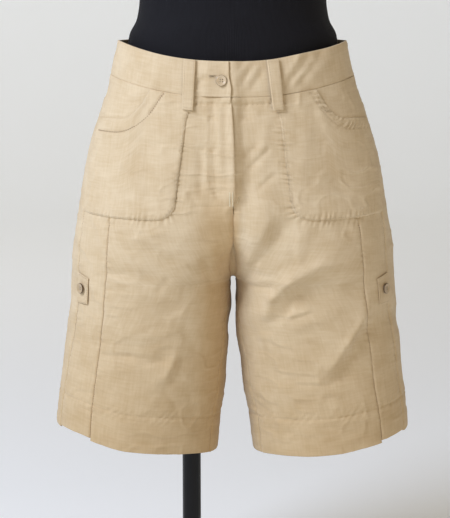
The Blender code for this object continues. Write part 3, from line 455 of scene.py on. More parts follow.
def addMesh(name, points, quads, material, triangles=None, uv=None):  # points and faces as whole arrays
    triangles = np.zeros((0, 3), int) if triangles is None else np.asarray(triangles)
    corners = np.concatenate((np.asarray(quads).ravel(), triangles.ravel()))
    starts = np.concatenate((np.arange(len(quads)) * 4, len(quads) * 4 + np.arange(len(triangles)) * 3))
    data = bpy.data.meshes.new(name)
    data.vertices.add(len(points))
    data.vertices.foreach_set("co", np.asarray(points, np.float32).ravel())
    data.loops.add(len(corners))
    data.loops.foreach_set("vertex_index", corners.astype(np.int32))
    data.polygons.add(len(starts))
    data.polygons.foreach_set("loop_start", starts.astype(np.int32))
    data.update(calc_edges=True)
    data.validate()
    data.shade_smooth()
    if uv is not None:
        layer = data.uv_layers.new(name="weave")
        layer.data.foreach_set("uv", np.asarray(uv, np.float32)[corners].ravel())
    data.materials.append(material)
    piece = bpy.data.objects.new(name, data)
    bpy.context.scene.collection.objects.link(piece)
    return piece


def place(piece, slot, *nodes):  # every piece rides on the one body
    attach(piece, "root")
    if nodes:
        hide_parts(*nodes)
    return piece


def woven(outer, shift):  # cloth coordinates in metres: across from the middle column, down the middle one
    middle = outer.shape[1] // 2
    step = np.linalg.norm(np.diff(outer, axis=1), axis=-1)
    u = np.concatenate((np.zeros((len(outer), 1)), np.cumsum(step, axis=1)), axis=1)
    u = u - u[:, middle:middle + 1]
    v = shift[1] - runAlong(outer[:, middle])[:, None]
    return np.stack((u + shift[0], np.broadcast_to(v, u.shape)), axis=-1)


def gridQuads(rows, across, loop=False):  # faces between rows of points; a loop joins their ends
    at = np.arange(rows * across).reshape(rows, across)
    if loop:
        at = np.concatenate((at, at[:, :1]), axis=1)
    return np.stack((at[:-1, :-1], at[:-1, 1:], at[1:, 1:], at[1:, :-1]), axis=-1).reshape(-1, 4)


def shell(name, outer, normal, wall, material, shift=(0.0, 0.0), keepSide=0, keepBelow=9.0, rim=(0.30, 0.78)):
    # A closed thin wall: outer face, inner face one wall behind it, and rims drawn in and rounded.
    # Below a height it may be kept on its own side of the middle.
    outer = outer.copy()
    for axis in (0, 1):
        rows = np.moveaxis(outer, axis, 0)
        for edge, inside in ((0, 1), (-1, -2)):
            rows[edge] += unit(rows[inside] - rows[edge]) * (cut["seamGap"] / 2)
    rows, across = outer.shape[:2]
    fill = np.ones((rows, across))
    for share, k in zip(rim[::-1], (1, 0)):
        for band in (fill[k], fill[-1 - k], fill[:, k], fill[:, -1 - k]):
            band[...] = np.minimum(band, share)
    wall = np.broadcast_to(wall, fill.shape)
    middle = outer - normal * (wall / 2)[..., None]
    half = normal * (wall / 2 * fill)[..., None]
    points = np.concatenate(((middle + half).reshape(-1, 3), (middle - half).reshape(-1, 3)))
    if keepSide:
        kept = keepSide * np.maximum(keepSide * points[:, 0], cut["seamGap"] / 2)
        points[:, 0] = np.where(points[:, 2] < keepBelow, kept, points[:, 0])
    front = gridQuads(rows, across)
    count = rows * across
    at = np.arange(count).reshape(rows, across)
    border = np.concatenate((at[0, :-1], at[:-1, -1], at[-1, :0:-1], at[:0:-1, 0]))
    after = np.roll(border, -1)
    sides = np.stack((after, border, border + count, after + count), axis=-1)
    quads = np.concatenate((front, front[:, ::-1] + count, sides))
    k = len(front) // 2
    a, b, d = points[front[k, 0]], points[front[k, 1]], points[front[k, 3]]
    if np.dot(np.cross(b - a, d - a), normal.reshape(-1, 3)[front[k, 0]]) < 0:
        quads = quads[:, ::-1]
    uv = np.tile(woven(outer, shift).reshape(-1, 2), (2, 1))
    return addMesh(name, points, quads, material, uv=uv)


def shares(count, rimShare, first=0.35, clear=1.4):  # even steps from 0 to 1, two finer ones at each end
    steps = np.linspace(0.0, 1.0, count + 1)
    steps = steps[(steps > rimShare * clear) & (steps < 1 - rimShare * clear)]
    ends = np.array((0.0, rimShare * first, rimShare))
    return np.concatenate((ends, steps, 1 - ends[::-1]))


def clothArea(outer):  # area of one face, from its cells' diagonals
    across = outer[1:, 1:] - outer[:-1, :-1]
    down = outer[1:, :-1] - outer[:-1, 1:]
    return float(np.linalg.norm(np.cross(across, down), axis=-1).sum() / 2)


def newMaterial(name, colour, **inputs):  # inputs are the shader's own sockets
    material = bpy.data.materials.new(name)
    material.use_nodes = True
    shader = material.node_tree.nodes["Principled BSDF"]
    shader.inputs["Base Color"].default_value = (*colour, 1.0)
    for key, value in inputs.items():
        shader.inputs[key.replace("_", " ")].default_value = value
    return material, material.node_tree, shader


def node(tree, kind, inputs=(), **settings):  # one shader node; inputs are values or other nodes' sockets
    made = tree.nodes.new("ShaderNode" + kind)
    for key, value in settings.items():
        setattr(made, key, value)
    for key, value in dict(inputs).items():
        if isinstance(value, bpy.types.NodeSocket):
            tree.links.new(value, made.inputs[key])
        else:
            made.inputs[key].default_value = value
    return made


def maths(tree, operation, first, second=0.0):  # one sum on values or sockets
    return node(tree, "Math", {0: first, 1: second}, operation=operation).outputs[0]


def blendColour(tree, factor, first, second, how="MIX"):  # first at 0, second at 1
    made = node(tree, "Mix", {"Factor": factor}, data_type="RGBA", blend_type=how)
    for socket, value in zip((6, 7), (first, second)):
        if isinstance(value, bpy.types.NodeSocket):
            tree.links.new(value, made.inputs[socket])
        else:
            made.inputs[socket].default_value = (*value, 1.0)
    return made.outputs[2]


def objectSpace(tree):  # coordinates of the piece itself
    return node(tree, "TexCoord").outputs["Object"]


def clothSpace(tree):  # the piece's own cloth coordinates, whole and taken apart
    weave = node(tree, "UVMap", uv_map="weave").outputs[0]
    return weave, node(tree, "SeparateXYZ", {0: weave}).outputs


def stretched(tree, vector, scale, location=(0.0, 0.0, 0.0)):  # coordinates times a scale, moved
    return node(tree, "Mapping", {"Vector": vector, "Scale": scale, "Location": location}).outputs[0]


def noise(tree, vector, scale=1.0, detail=2.0, **more):  # cloudy values around a half
    return node(tree, "TexNoise", {"Vector": vector, "Scale": scale, "Detail": detail, **more}).outputs[0]


def ramp(tree, value, start, end, kind="LINEAR"):  # 0 at start, 1 at end
    return node(tree, "MapRange", {"Value": value, "From Min": start, "From Max": end},
                interpolation_type=kind).outputs[0]


def addBump(tree, shader, height, strength, distance):  # over the relief that the shader already has
    made = node(tree, "Bump", {"Height": height, "Strength": strength, "Distance": distance})
    for link in shader.inputs["Normal"].links:
        tree.links.new(link.from_socket, made.inputs["Normal"])
    tree.links.new(made.outputs[0], shader.inputs["Normal"])


# Besides the cloth's own colour and weave tone, linenLook holds painted shade: darker towards the hems, and
# darker and browner where the legs meet in front.
linenLook = dict(colour=(0.640, 0.508, 0.325), pale=(0.735, 0.614, 0.425), deep=(0.535, 0.400, 0.228),
                 threadPitch=0.00062, threadBump=0.00010, slubBump=0.00022, slubTone=0.75, streakTone=0.80,
                 cloudTone=1.0, roughness=0.86, specular=0.28, deepFrom=0.52, deepTo=0.23,
                 hemShade=(0.85, 0.79, 0.69), middleShade=(0.90, 0.82, 0.70),
                 # where the painted shade of the middle lies, from each side, by depth and by height
                 middle=((0, -0.060, -0.016), (0, 0.012, 0.002), (1, 0.02, -0.02), (2, 0.62, 0.53)))


def linenMaterial(name, look, shift=0.0):
    # Plain weave = sine of warp * sine of weft, in bump; slubs = noise drawn out along each thread, in tint
    # and bump; streaks and clouds are broader noise in tint alone.
    material, tree, shader = newMaterial(name, look["colour"], Roughness=look["roughness"], Sheen_Weight=0.18,
                                         Sheen_Roughness=0.45, Specular_IOR_Level=look["specular"])
    weave, parts = clothSpace(tree)
    turn = math.pi / look["threadPitch"]
    warp, weft = [maths(tree, "SINE", maths(tree, "MULTIPLY", parts[k], turn)) for k in (0, 1)]
    cloth = maths(tree, "MULTIPLY", warp, weft)
    drawn = [noise(tree, stretched(tree, weave, (*stretch, 1.0), (shift, shift, 0.0)))
             for stretch in ((70.0, 1150.0), (1150.0, 60.0), (30.0, 330.0), (330.0, 24.0))]
    slub, streak = [maths(tree, "SUBTRACT", maths(tree, "MULTIPLY", maths(tree, "ADD", *pair), 0.5), 0.5)
                    for pair in (drawn[:2], drawn[2:])]
    cloud = noise(tree, stretched(tree, weave, (26.0, 34.0, 1.0), (shift, 0.0, 0.0)), detail=4.0)
    tone = maths(tree, "ADD", maths(tree, "MULTIPLY", slub, look["slubTone"]),
                 maths(tree, "MULTIPLY", streak, look["streakTone"]))
    cloudy = maths(tree, "MULTIPLY", maths(tree, "SUBTRACT", cloud, 0.5), look["cloudTone"])
    tone = maths(tree, "ADD", maths(tree, "ADD", tone, cloudy), 0.5)
    tinted = blendColour(tree, tone, look["deep"], look["pale"])
    # Painted shade: the cloth is darkened a little towards the hems, where less light falls, and where the
    # legs meet in front, where they shade each other; there the share is the product of two smooth ramps
    # across, one by depth and one by height.
    at, white = node(tree, "SeparateXYZ", {0: objectSpace(tree)}).outputs, (1.0, 1.0, 1.0)
    lowness = ramp(tree, at[2], look["deepFrom"], look["deepTo"])
    ramps = [ramp(tree, at[axis], start, end, "SMOOTHSTEP") for axis, start, end in look["middle"]]
    near = maths(tree, "MULTIPLY", maths(tree, "MULTIPLY", *ramps[:2]), maths(tree, "MULTIPLY", *ramps[2:]))
    for share, shade in ((lowness, look["hemShade"]), (near, look["middleShade"])):
        tinted = blendColour(tree, 1.0, tinted, blendColour(tree, share, white, shade), "MULTIPLY")
    tree.links.new(tinted, shader.inputs["Base Color"])
    addBump(tree, shader, cloth, 0.55, look["threadBump"])
    addBump(tree, shader, slub, 0.8, look["slubBump"])
    return material


# The deep thread colour is painted shadow of the seam ditches; the pale and tack colours are the threads'
# own.
threadLook = dict(pale=(0.600, 0.480, 0.310), deep=(0.330, 0.215, 0.120), tack=(0.860, 0.770, 0.540),
                  roughness=0.60)
buttonLook = dict(colour=(0.660, 0.540, 0.370), vein=(0.520, 0.390, 0.230), roughness=0.24)
# The tab buttons' resin is a darker copy of the waist button's: painted shade, as they sit on the shaded
# sides.
tabButtonLook = dict(colour=(0.530, 0.410, 0.255), vein=(0.400, 0.285, 0.155), roughness=0.34)
# The buttons' side wall is darkened: painted shade, by share of the radius.
rimLook = dict(colour=(0.070, 0.040, 0.018), start=0.90, end=0.985)  # by share of the radius
jerseyLook = dict(colour=(0.0045, 0.0045, 0.0062), dust=(0.0095, 0.0095, 0.0125), ribPitch=0.0013)
paintLook = dict(colour=(0.0045, 0.0045, 0.0050), roughness=0.30, specular=0.22)


def threadMaterial(name, colour):  # spun thread: fine diagonal ribs from a wave texture
    material, tree, shader = newMaterial(name, colour, Roughness=threadLook["roughness"], Sheen_Weight=0.2)
    ribs = node(tree, "TexWave", {"Vector": objectSpace(tree), "Scale": 900.0, "Distortion": 1.5},
                bands_direction="DIAGONAL").outputs[1]
    tree.links.new(blendColour(tree, ribs, [0.8 * c for c in colour], colour), shader.inputs["Base Color"])
    addBump(tree, shader, ribs, 0.4, 0.0001)
    return material


def buttonMaterial(name, look):  # polished resin with faint drifting veins; the darker side wall is painted shade
    material, tree, shader = newMaterial(name, look["colour"], Roughness=look["roughness"], Coat_Weight=0.35,
                                         Coat_Roughness=0.08)
    drift = noise(tree, objectSpace(tree), 220.0, 3.0, Distortion=1.8)
    horn = blendColour(tree, drift, look["vein"], look["colour"])
    rim = ramp(tree, clothSpace(tree)[1][0], rimLook["start"], rimLook["end"])
    tree.links.new(blendColour(tree, rim, horn, rimLook["colour"]), shader.inputs["Base Color"])
    return material


def jerseyMaterial():
    # Fine knit: ribs round the form and rows of loops, with a little lint in the tone.
    look = jerseyLook
    material, tree, shader = newMaterial("blackJersey", look["colour"], Roughness=0.80, Sheen_Weight=0.03,
                                         Sheen_Roughness=0.35, Specular_IOR_Level=0.18)
    knit, parts = clothSpace(tree)
    turn = math.pi / look["ribPitch"]
    ribs = maths(tree, "ABSOLUTE", maths(tree, "SINE", maths(tree, "MULTIPLY", parts[0], turn)))
    rows = maths(tree, "SINE", maths(tree, "MULTIPLY", parts[1], 1.7 * turn))
    height = maths(tree, "ADD", ribs, maths(tree, "MULTIPLY", rows, 0.25))
    lint = noise(tree, stretched(tree, knit, (420.0, 30.0, 1.0)), detail=3.0)
    tree.links.new(blendColour(tree, lint, look["colour"], look["dust"]), shader.inputs["Base Color"])
    addBump(tree, shader, height, 0.5, 0.0003)
    return material


def paintMaterial():  # satin powder coat: an even fine grain in bump and gloss
    look = paintLook
    material, tree, shader = newMaterial("blackPaint", look["colour"], Roughness=look["roughness"],
                                         Specular_IOR_Level=look["specular"])
    at = objectSpace(tree)
    grain, cloud = noise(tree, at, 900.0), noise(tree, at, 14.0, 3.0)
    gloss = maths(tree, "ADD", look["roughness"] - 0.06, maths(tree, "MULTIPLY", cloud, 0.12))
    tree.links.new(gloss, shader.inputs["Roughness"])
    addBump(tree, shader, grain, 0.25, 0.0001)
    return material


linen = linenMaterial("linen", linenLook)
linenAcross = linenMaterial("linenBand", dict(linenLook, colour=(0.605, 0.478, 0.300)), shift=3.7)
thread = threadMaterial("linenThread", threadLook["pale"])
# The dark seam thread stands in for the shadow in the seam ditches: painted shadow.
seamThread = threadMaterial("seamThread", threadLook["deep"])
tackThread = threadMaterial("tackThread", threadLook["tack"])
# A near-black material for the buttonhole slit and the buttons' holes: painted shade of the openings.
holeDark = newMaterial("buttonHole", (0.05, 0.035, 0.02), Roughness=0.8)[0]
resin = buttonMaterial("hornResin", buttonLook)
tabResin = buttonMaterial("tabHornResinShaded", tabButtonLook)
jersey = jerseyMaterial()
paint = paintMaterial()
print("materials made")


def seamAngle(side, which, drop):  # the front seam is not the same on both legs
    return np.radians(readColumn(seamAngles, which + title[side] if which == "front" else which, drop))


def seamPath(side, which, top, bottom, step=0.004):  # down a side seam, at its own angles
    drop = stepsBetween(top, bottom, step)
    return makePath(side, seamAngle(side, which, drop), drop)


def innerPath(side, top, bottom, step=0.004):  # centre front, crotch curve or inseam
    drop = stepsBetween(top, bottom, step)
    return makePath(side, frontStart(drop), drop)


def backPath(side, top, bottom, step=0.004):  # centre back seam
    drop = stepsBetween(top, bottom, step)
    return makePath(side, backEnd(drop), drop)


def ringPath(side, drop, start, end, step=0.004, radius=0.11):  # steps by the rings' usual radius
    return makePath(side, np.linspace(start, end, int(abs(end - start) * radius / step) + 2), drop)


def hemPath(side, step):  # the sewn line of the turned-up hem, right round the leg
    return ringPath(side, cut["hemDrop"] - cut["hemDepth"], -1.12 * math.pi, 0.88 * math.pi, step)


pocketCut = dict(scoopFrom=0.099, scoopWidth=0.046, scoopTop=0.057, scoopDrop=0.0978, scoopCurve=(2.6, 0.8),
                 bottom=0.2225, bottomRise=0.006, corner=0.028, cornerRise=0.0224, facingFrom=0.086,
                 facingBelow=0.014, facingMargin=0.002, facingStep=0.012, facingEase=0.022, pressed=0.0008,
                 pressedOver=0.0035, midway=0.14, foldAcross=0.09, foldDown=0.15, foldOpening=0.13)
pocketInner = columns(
    "drop across",
    (0.066, 0.0525), (0.085, 0.0540), (0.098, 0.0580), (0.123, 0.0612), (0.152, 0.0650), (0.183, 0.0695),
    (0.225, 0.0740))


def bandSeamSeen(side, across):  # how far down the band's lower seam is seen
    return cut["bandHeight"] + cut["frontDip"] * np.sin(angleAt(side, across, cut["bandHeight"])) ** 2


def scoopSeen(across):  # the scooped opening: a quarter of a flattened circle, then level
    p = pocketCut
    run = np.clip((across - p["scoopFrom"]) / p["scoopWidth"], 0.0, 1.0)
    flat, steep = p["scoopCurve"]
    return p["scoopTop"] + (p["scoopDrop"] - p["scoopTop"]) * (1 - (1 - run) ** flat) ** (1 / steep)


def pocketBottom(across, share):
    # Bottom = level - rise * share squared - a quarter circle that rounds the inner corner.
    p = pocketCut
    corner = np.clip(1 - (across - across[:, :1]) / p["corner"], 0.0, 1.0)
    return p["bottom"] - p["bottomRise"] * share ** 2 - p["cornerRise"] * (1 - np.sqrt(1 - corner ** 2))


def frontPatch(side, innerEdge, topEdge, bottomEdge, share, fall):
    # Angles and drops of a patch that reaches the side seam, and how far across and down each is seen.
    fall = fall[:, None]
    seen = level = np.full((len(fall), len(share)), pocketCut["midway"])
    for _ in range(10):  # each round comes closer
        start = angleAt(side, innerEdge(seen), level)
        angle = start + (seamAngle(side, "side", level) - start) * share
        across = side * bareFace(side, angle, level)[..., 0]
        top, bottom = topEdge(across[:1]), bottomEdge(across[-1:], share)
        seen = top + (bottom - top) * fall
        level = seenDrop(seen, angle)
    return angle, level, across, seen


def openingSeen(side, across):  # the lower of the band's seam and the scoop
    scooped = np.where(across > pocketCut["scoopFrom"], scoopSeen(across), 0.0)
    return np.maximum(bandSeamSeen(side, across), scooped)


def pocketGrid(side, share, fall):  # from its inner edge to the side seam, opening to bottom
    return frontPatch(side, lambda seen: readColumn(pocketInner, "across", seen),
                      lambda across: openingSeen(side, across), pocketBottom, share, fall)


def pocketAir(across, seen):  # it passes over the facing, then settles onto the front panel
    p = pocketCut
    risen = p["facingFrom"] - p["facingMargin"]
    over = easeStep(across, risen - p["facingStep"], risen)
    low = scoopSeen(np.maximum(across, p["scoopFrom"])) + p["facingBelow"] + 2 * p["facingMargin"]
    over = over * (1 - easeStep(seen, low, low + p["facingEase"]))
    return cut["layerAir"] + over * (thick["facing"] + cut["layerAir"])


def pocketRim(side, inset=0.0, across=60, down=40, endGap=0.004):
    # The pocket's inner and lower edge as one path, drawn in by this much from the edge of the patch.
    _, _, x, seen = pocketGrid(side, np.linspace(0, 1, across), np.linspace(0, 1, down))
    flat = np.stack([np.concatenate((v[:, 0], v[-1, 1:])) for v in (x, seen)], axis=1)
    flat = aside(smoothCurve(flat[::3]), -inset)
    keep = flat[:, 0] < flat[:, 0].max() - endGap
    return makePath(side, *onFront(side, flat[keep, 0], flat[keep, 1]))


def openingPath(side, begin=0.0003, farthest=0.158, clear=0.0004):  # the open edge, as far as it shows
    across = np.linspace(pocketCut["scoopFrom"] + begin, farthest, 46)
    seen = scoopSeen(across)
    keep = seen > bandSeamSeen(side, across) + clear
    return makePath(side, *onFront(side, across[keep], seen[keep]))


# The sewn line below the opening, across and down as seen, as it lies on either pocket.
openingStitch = {
    right: [(0.0847, 0.0650), (0.0946, 0.0794), (0.1068, 0.0954), (0.1224, 0.1076), (0.1382, 0.1141),
            (0.1581, 0.1146), (0.1690, 0.1139)],
    left: [(0.0900, 0.0612), (0.0955, 0.0661), (0.1058, 0.0816), (0.1229, 0.1007), (0.1395, 0.1096),
           (0.1594, 0.1103), (0.1690, 0.1100)]}


flyCurve = columns(
    "drop over",
    (0.000, -0.0054), (0.018, -0.0050), (0.034, -0.0026), (0.047, -0.0030), (0.055, -0.0018), (0.095, 0.0008),
    (0.150, 0.0024), (0.180, 0.0030), (0.203, 0.0030))
flyPlan = dict(liftFades=(0.196, 0.226), overFades=(0.186, 0.206), under=0.0062, underFades=(0.165, 0.204),
               ramp=(0.006, 0.034), lift=0.0025)
stitchPlan = [(0.0286, 0.0779), (0.0299, 0.1097), (0.0299, 0.1466), (0.0287, 0.1713), (0.0238, 0.1874),
              (0.0151, 0.1973), (0.0052, 0.2035)]


def flyRise(across, drop):  # the right front lies over the left one, nearest the centre front
    f = flyPlan
    return f["lift"] * (1 - easeStep(across, *f["ramp"])) * (1 - easeStep(drop, *f["liftFades"]))


sharedMarks = {}
pocketMarks = {}
for side in (right, left):
    tail = 0.2 * side
    frontSeam = pathLine(seamPath(side, "front", 0.205, 0.546))
    backSeam = pathLine(seamPath(side, "side", 0.046, 0.546))
    inseam = pathLine(innerPath(side, 0.312, 0.546))
    hemLine = pathLine(hemPath(side, 0.006))
    underBand = pathLine(ringPath(side, 0.0530, math.radians(36), math.pi / 2))
    rim = pathLine(pocketRim(side))
    centre = pathLine(innerPath(side, 0.206, 0.303))
    centreBack = pathLine(backPath(side, 0.050, 0.300))
    sharedMarks[side] = [
        mark(frontSeam, groove=0.0007, width=0.0014, pucker=0.0015, pitch=0.0080, reach=0.0070, begin=0.010,
             bulk=0.00016, bulkWidth=0.006, bulkSide=-side, seed=3 + tail),
        mark(backSeam, groove=0.0010, width=0.0015, pucker=0.0010, pitch=0.0085, reach=0.0060, seed=5 + tail),
        mark(inseam, groove=0.0007, width=0.0014, pucker=0.0010, pitch=0.0090, reach=0.0065, seed=7 + tail),
        mark(hemLine, groove=0.0011, width=0.0016, pucker=0.0013, pitch=0.0098, reach=0.0095, slant=0.9,
             seed=11 + tail),
        mark(centre, groove=0.0018, width=0.0032, pucker=0.0009, pitch=0.0090, reach=0.0075, seed=25 + tail),
        mark(centreBack, groove=0.0009, width=0.0015, pucker=0.0010, pitch=0.0090, reach=0.0065,
             seed=27 + tail),
        mark(underBand, groove=0.0013, width=0.0022, pucker=0.0016, pitch=0.0070, reach=0.0055,
             seed=17 + tail)]
    if side == right:
        sharedMarks[side].append(mark(pathLine(frontPath(side, stitchPlan)), groove=0.0009, width=0.0014,
                                      pucker=0.00090, pitch=0.0075, reach=0.0050, seed=33))
    pocketMarks[side] = [mark(rim, groove=0.0003, width=0.0012, pucker=0.00210 if side == right else 0.00230,
                              pitch=0.0070, reach=0.0080, seed=13 + tail)]
print("seams laid out")


panelPlan = dict(cell=0.0018, backCell=0.0023, rimShare=0.0009, raised=0.0006, raisedEnds=(0.046, 0.058),
                 flush=0.0007, flushFrom=(0.30, 0.62), hemRaised=0.0005, hemLine=(0.4950, 0.4972),
                 hemWall=(0.4955, 0.4970), stripFades=(0.50, 0.546), gatheredTo=0.226,
                 widths=(0.150, 0.044, 0.262), rightMeets=(0.196, 0.206), leftMeets=(0.190, 0.204),
                 rightKeptTo=0.2065, leftKeptTo=0.2045)


def fineRows(top, bottom, cell):  # rows close together at both ends, so that rims are crisp
    count = int(round((bottom - top) / cell))
    return top + (bottom - top) * shares(count, panelPlan["rimShare"] / (bottom - top))


def closeRows(rows, below):  # one more row between each two, above this drop, where seams gather the cloth
    between = (rows[1:] + rows[:-1]) / 2
    return np.sort(np.concatenate((rows, between[(np.diff(rows) > 0.0012) & (between < below)])))


def sewnPiece(name, cadNode, outer, normal, wall, held, restsOn, slot="linen", **more):
    # The cut is the piece laid flat: its widest row, its longest column and its area.
    piece = shell(name, outer, normal, wall, linenAcross if slot == "linen_double" else linen, **more)
    row = np.linalg.norm(np.diff(outer, axis=1), axis=-1).sum(1)
    column = np.linalg.norm(np.diff(outer, axis=0), axis=-1).sum(0)
    size = [round(float(row.max()), 4), round(float(column.max()), 4)]
    area = clothArea(outer)
    place(piece, slot, cadNode)
    print("cloth %s: %.0f x %.0f mm, %.0f cm2, %d faces" % (
        name, size[0] * 1000, size[1] * 1000, area * 1e4, len(piece.data.polygons)))


def panel(name, side, rows, start, end, width, cadNode, hemStep=0.0, lift=None, keepBelow=9.0,
          shift=(0.0, 0.0)):
    # A grid between two edges, given as angles down the rows; its cells are even in between.
    p = panelPlan
    cell = p["backCell" if name.startswith("back") else "cell"]
    share = shares(int(round(width / cell)), p["rimShare"] / width)[None, :]
    drop = rows[:, None] - hemStep * easeStep(rows[:, None], *p["stripFades"])
    around = start[:, None] * (1 - share) + end[:, None] * share
    # The turned allowances lift it a little under the band and at the hem line.
    flush = p["flush"] * easeStep(np.cos(around), *p["flushFrom"]) * (np.sin(around) > 0) * (side == right)
    raised = (p["raised"] + flush) * (1 - easeStep(drop, *p["raisedEnds"])) \
        + p["hemRaised"] * easeStep(drop, *p["hemLine"])
    outer, normal = clothFace(side, around, drop, raised, marks=sharedMarks[side] + pocketMarks[side])
    if lift is not None:
        outer = outer + normal * lift(side * outer[..., 0], drop)[..., None]
    wall = thick["panel"] + (thick["hem"] - thick["panel"]) * easeStep(drop, *p["hemWall"])
    sewnPiece(name, cadNode, outer, normal, wall, "hung", "form_torso", shift=shift, keepSide=side,
              keepBelow=keepBelow)


p, f = panelPlan, flyPlan
rows = closeRows(fineRows(cut["bandHeight"], cut["hemDrop"], p["cell"]), p["gatheredTo"])
behind = fineRows(cut["bandHeight"], cut["hemDrop"], p["backCell"])
frontWidth, stripWidth, backWidth = p["widths"]
for side in (right, left):
    if side == right:  # the fly's edge reaches over the middle, and the other front a little under it
        past = readColumn(flyCurve, "over", rows) * (1 - easeStep(rows, *f["overFades"]))
        share, kept, lift = easeStep(rows, *p["rightMeets"]), p["rightKeptTo"], flyRise
    else:
        past = f["under"] * (1 - easeStep(rows, *f["underFades"]))
        share, kept, lift = easeStep(rows, *p["leftMeets"]), p["leftKeptTo"], None
    begin = angleAt(side, -past, rows) * (1 - share) + frontStart(rows) * share
    frontEdge = seamAngle(side, "front", rows)
    panel("front" + title[side], side, rows, begin, frontEdge, frontWidth, "front_" + word[side], lift=lift,
          keepBelow=cut["waistZ"] - kept)
    panel("sideStrip" + title[side], side, rows, frontEdge, seamAngle(side, "side", rows), stripWidth,
          "side_panel_" + word[side], hemStep=cut["stripStep"], shift=(1.3, 0.2))
    panel("back" + title[side], side, behind, seamAngle(side, "side", behind), backEnd(behind),
          backWidth, "back_" + word[side], shift=(2.1, 0.6))
print("panels made")


# Pockets: a scooped facing, and a patch whose opening is bound by a stitched band.
def facingBottom(across, share):  # level with the scoop, a little lower
    return scoopSeen(np.maximum(across, pocketCut["scoopFrom"])) + pocketCut["facingBelow"]


# What differs at the two openings: the sewn line's groove, and the ripples beside it and along the edge.
openingMarks = {right: (0.00120, 0.00030, 0.00030), left: (0.00060, 0.00260, 0.00130)}
p = pocketCut
for side in (right, left):
    angle, level, across, seen = frontPatch(
        side, lambda seen: p["facingFrom"] + 0 * seen, lambda across: bandSeamSeen(side, across),
        facingBottom, shares(48, 0.010), shares(34, 0.013))
    outer, normal = clothFace(side, angle, level, cut["layerAir"] + thick["facing"], life=0.8)
    sewnPiece("facing" + title[side], "pocket_facing_" + word[side], outer, normal, thick["facing"], "laid",
              "front_" + word[side], shift=(2.9, 0.9))

    share, fall = shares(96, 0.006), shares(150, 0.006)
    angle, level, across, seen = pocketGrid(side, share, fall)
    hem, edge = pathLine(frontPath(side, openingStitch[side])), pathLine(openingPath(side))
    groove, hemPucker, edgePucker = openingMarks[side]
    marks = pocketMarks[side] + sharedMarks[side][1:2] + [
        mark(hem, groove=groove, width=0.0014, pucker=0.00060, pitch=0.0078, reach=0.0065, slant=0.3,
             seed=19 + side),
        mark(hem, pucker=hemPucker, pitch=0.0072, reach=0.0085, slant=0.9, only=-side, seed=21 + side),
        mark(edge, pucker=edgePucker, pitch=0.0068, reach=0.0050, seed=23 + side)]
    # The turned-in edges are pressed flat onto the panel.
    inside = np.minimum(share[None, :] * p["foldAcross"], (1 - fall[:, None]) * p["foldDown"])
    if side == right:  # this one's opening lies flat too
        inside = np.minimum(inside, fall[:, None] * p["foldOpening"])
    pressed = p["pressed"] * (1 - easeStep(inside, 0.0, p["pressedOver"]))
    lift = pocketAir(across, seen) + thick["pocket"] - pressed
    outer, normal = clothFace(side, angle, level, lift, marks=marks)
    sewnPiece("patchPocket" + title[side], "patch_pocket_" + word[side], outer, normal,
              thick["pocket"] - 0.5 * pressed, "laid", "front_" + word[side], shift=(3.7, 0.3))
print("pockets made")

# Waistband: two front halves that overlap, and the back.
bandPlan = dict(underEnd=-0.0290, ramp=(0.0315, 0.043), lift=0.0027, topRise=0.0024, topRiseAt=0.086,
                topRiseReach=0.034, swell=0.0005, cell=0.0022, rim=(0.62, 0.90), frontCells=76, backCells=70)
endCurve = columns("drop across", (0.000, 0.0054), (0.018, 0.0050), (0.034, 0.0024), (0.044, 0.0030))


def bandRise(across):  # the overlapping end lies higher, down a smooth ramp
    return bandPlan["lift"] * (1 - easeStep(across, *bandPlan["ramp"]))


def bandFace(side, around, drop, lift=None):
    # A rounded strip: the doubled cloth turns over at its top edge and swells a little between its seams.
    height = cut["bandHeight"]
    swell = bandPlan["swell"] * np.sin(math.pi * np.clip(drop / height, 0, 1)) ** 0.5
    outer, normal = clothFace(side, around, drop, thick["bandProud"] + swell, marks=bandMarks[side])
    if lift is not None:
        outer = outer + normal * lift(side * outer[..., 0])[..., None]
    if side == left:  # its upper edge stands a little higher between the loop and the side
        off = (outer[..., 0] - bandPlan["topRiseAt"]) / bandPlan["topRiseReach"]
        rise = bandPlan["topRise"] * np.exp(-off ** 2) * (1 - drop / height)
        outer[..., 2] += rise * easeStep(around, 0.0, 0.5)
    return outer, normal


def bandPiece(name, cadNode, outer, normal, shift):  # the three parts of the band are made alike
    sewnPiece(name, cadNode, outer, normal, thick["band"], "stretched", "form_torso", "linen_double",
              shift=shift, rim=bandPlan["rim"])


bandMarks = {}
for side in (right, left):
    lower = pathLine(ringPath(side, cut["bandHeight"] - 0.0018, -math.pi / 2, math.pi / 2 + 0.2))
    upper = pathLine(ringPath(side, 0.0022, -math.pi / 2, math.pi / 2 + 0.2))
    bandMarks[side] = [mark(lower, groove=0.00025, width=0.0010, pucker=0.00028, pitch=0.0095, reach=0.0050,
                            seed=29 + side),
                       mark(upper, groove=0.00012, width=0.0010, pucker=0.00016, pitch=0.0120, reach=0.0045,
                            seed=31 + side)]
bandRows = fineRows(0.0, cut["bandHeight"], bandPlan["cell"])
seamAt = math.radians(seamAngles["side"][0])
share = shares(bandPlan["frontCells"], 0.006)[None, :]
for side, across, lift, shift in ((right, readColumn(endCurve, "across", bandRows), bandRise, (0.4, 4.1)),
                                  (left, bandPlan["underEnd"] + 0 * bandRows, None, (0.9, 5.1))):
    around = angleAt(side, across, bandRows)[:, None] * (1 - share) + seamAt * share
    bandPiece("bandFront" + title[side], "waistband_front_" + word[side],
              *bandFace(side, around, bandRows[:, None], lift), shift)
cells = bandPlan["backCells"]
share = np.concatenate((shares(cells, 0.006)[:3], np.linspace(0, 1, cells + 1)[1:]))[None, :]
around = seamAt * (1 - share) - math.pi / 2 * share
halves = [bandFace(side, around, bandRows[:, None]) for side in (right, left)]
outer, normal = [np.concatenate((halves[0][k], halves[1][k][:, -2::-1]), axis=1) for k in (0, 1)]
bandPiece("bandBack", "waistband_back", outer, normal, (1.9, 6.1))
print("waistband made")

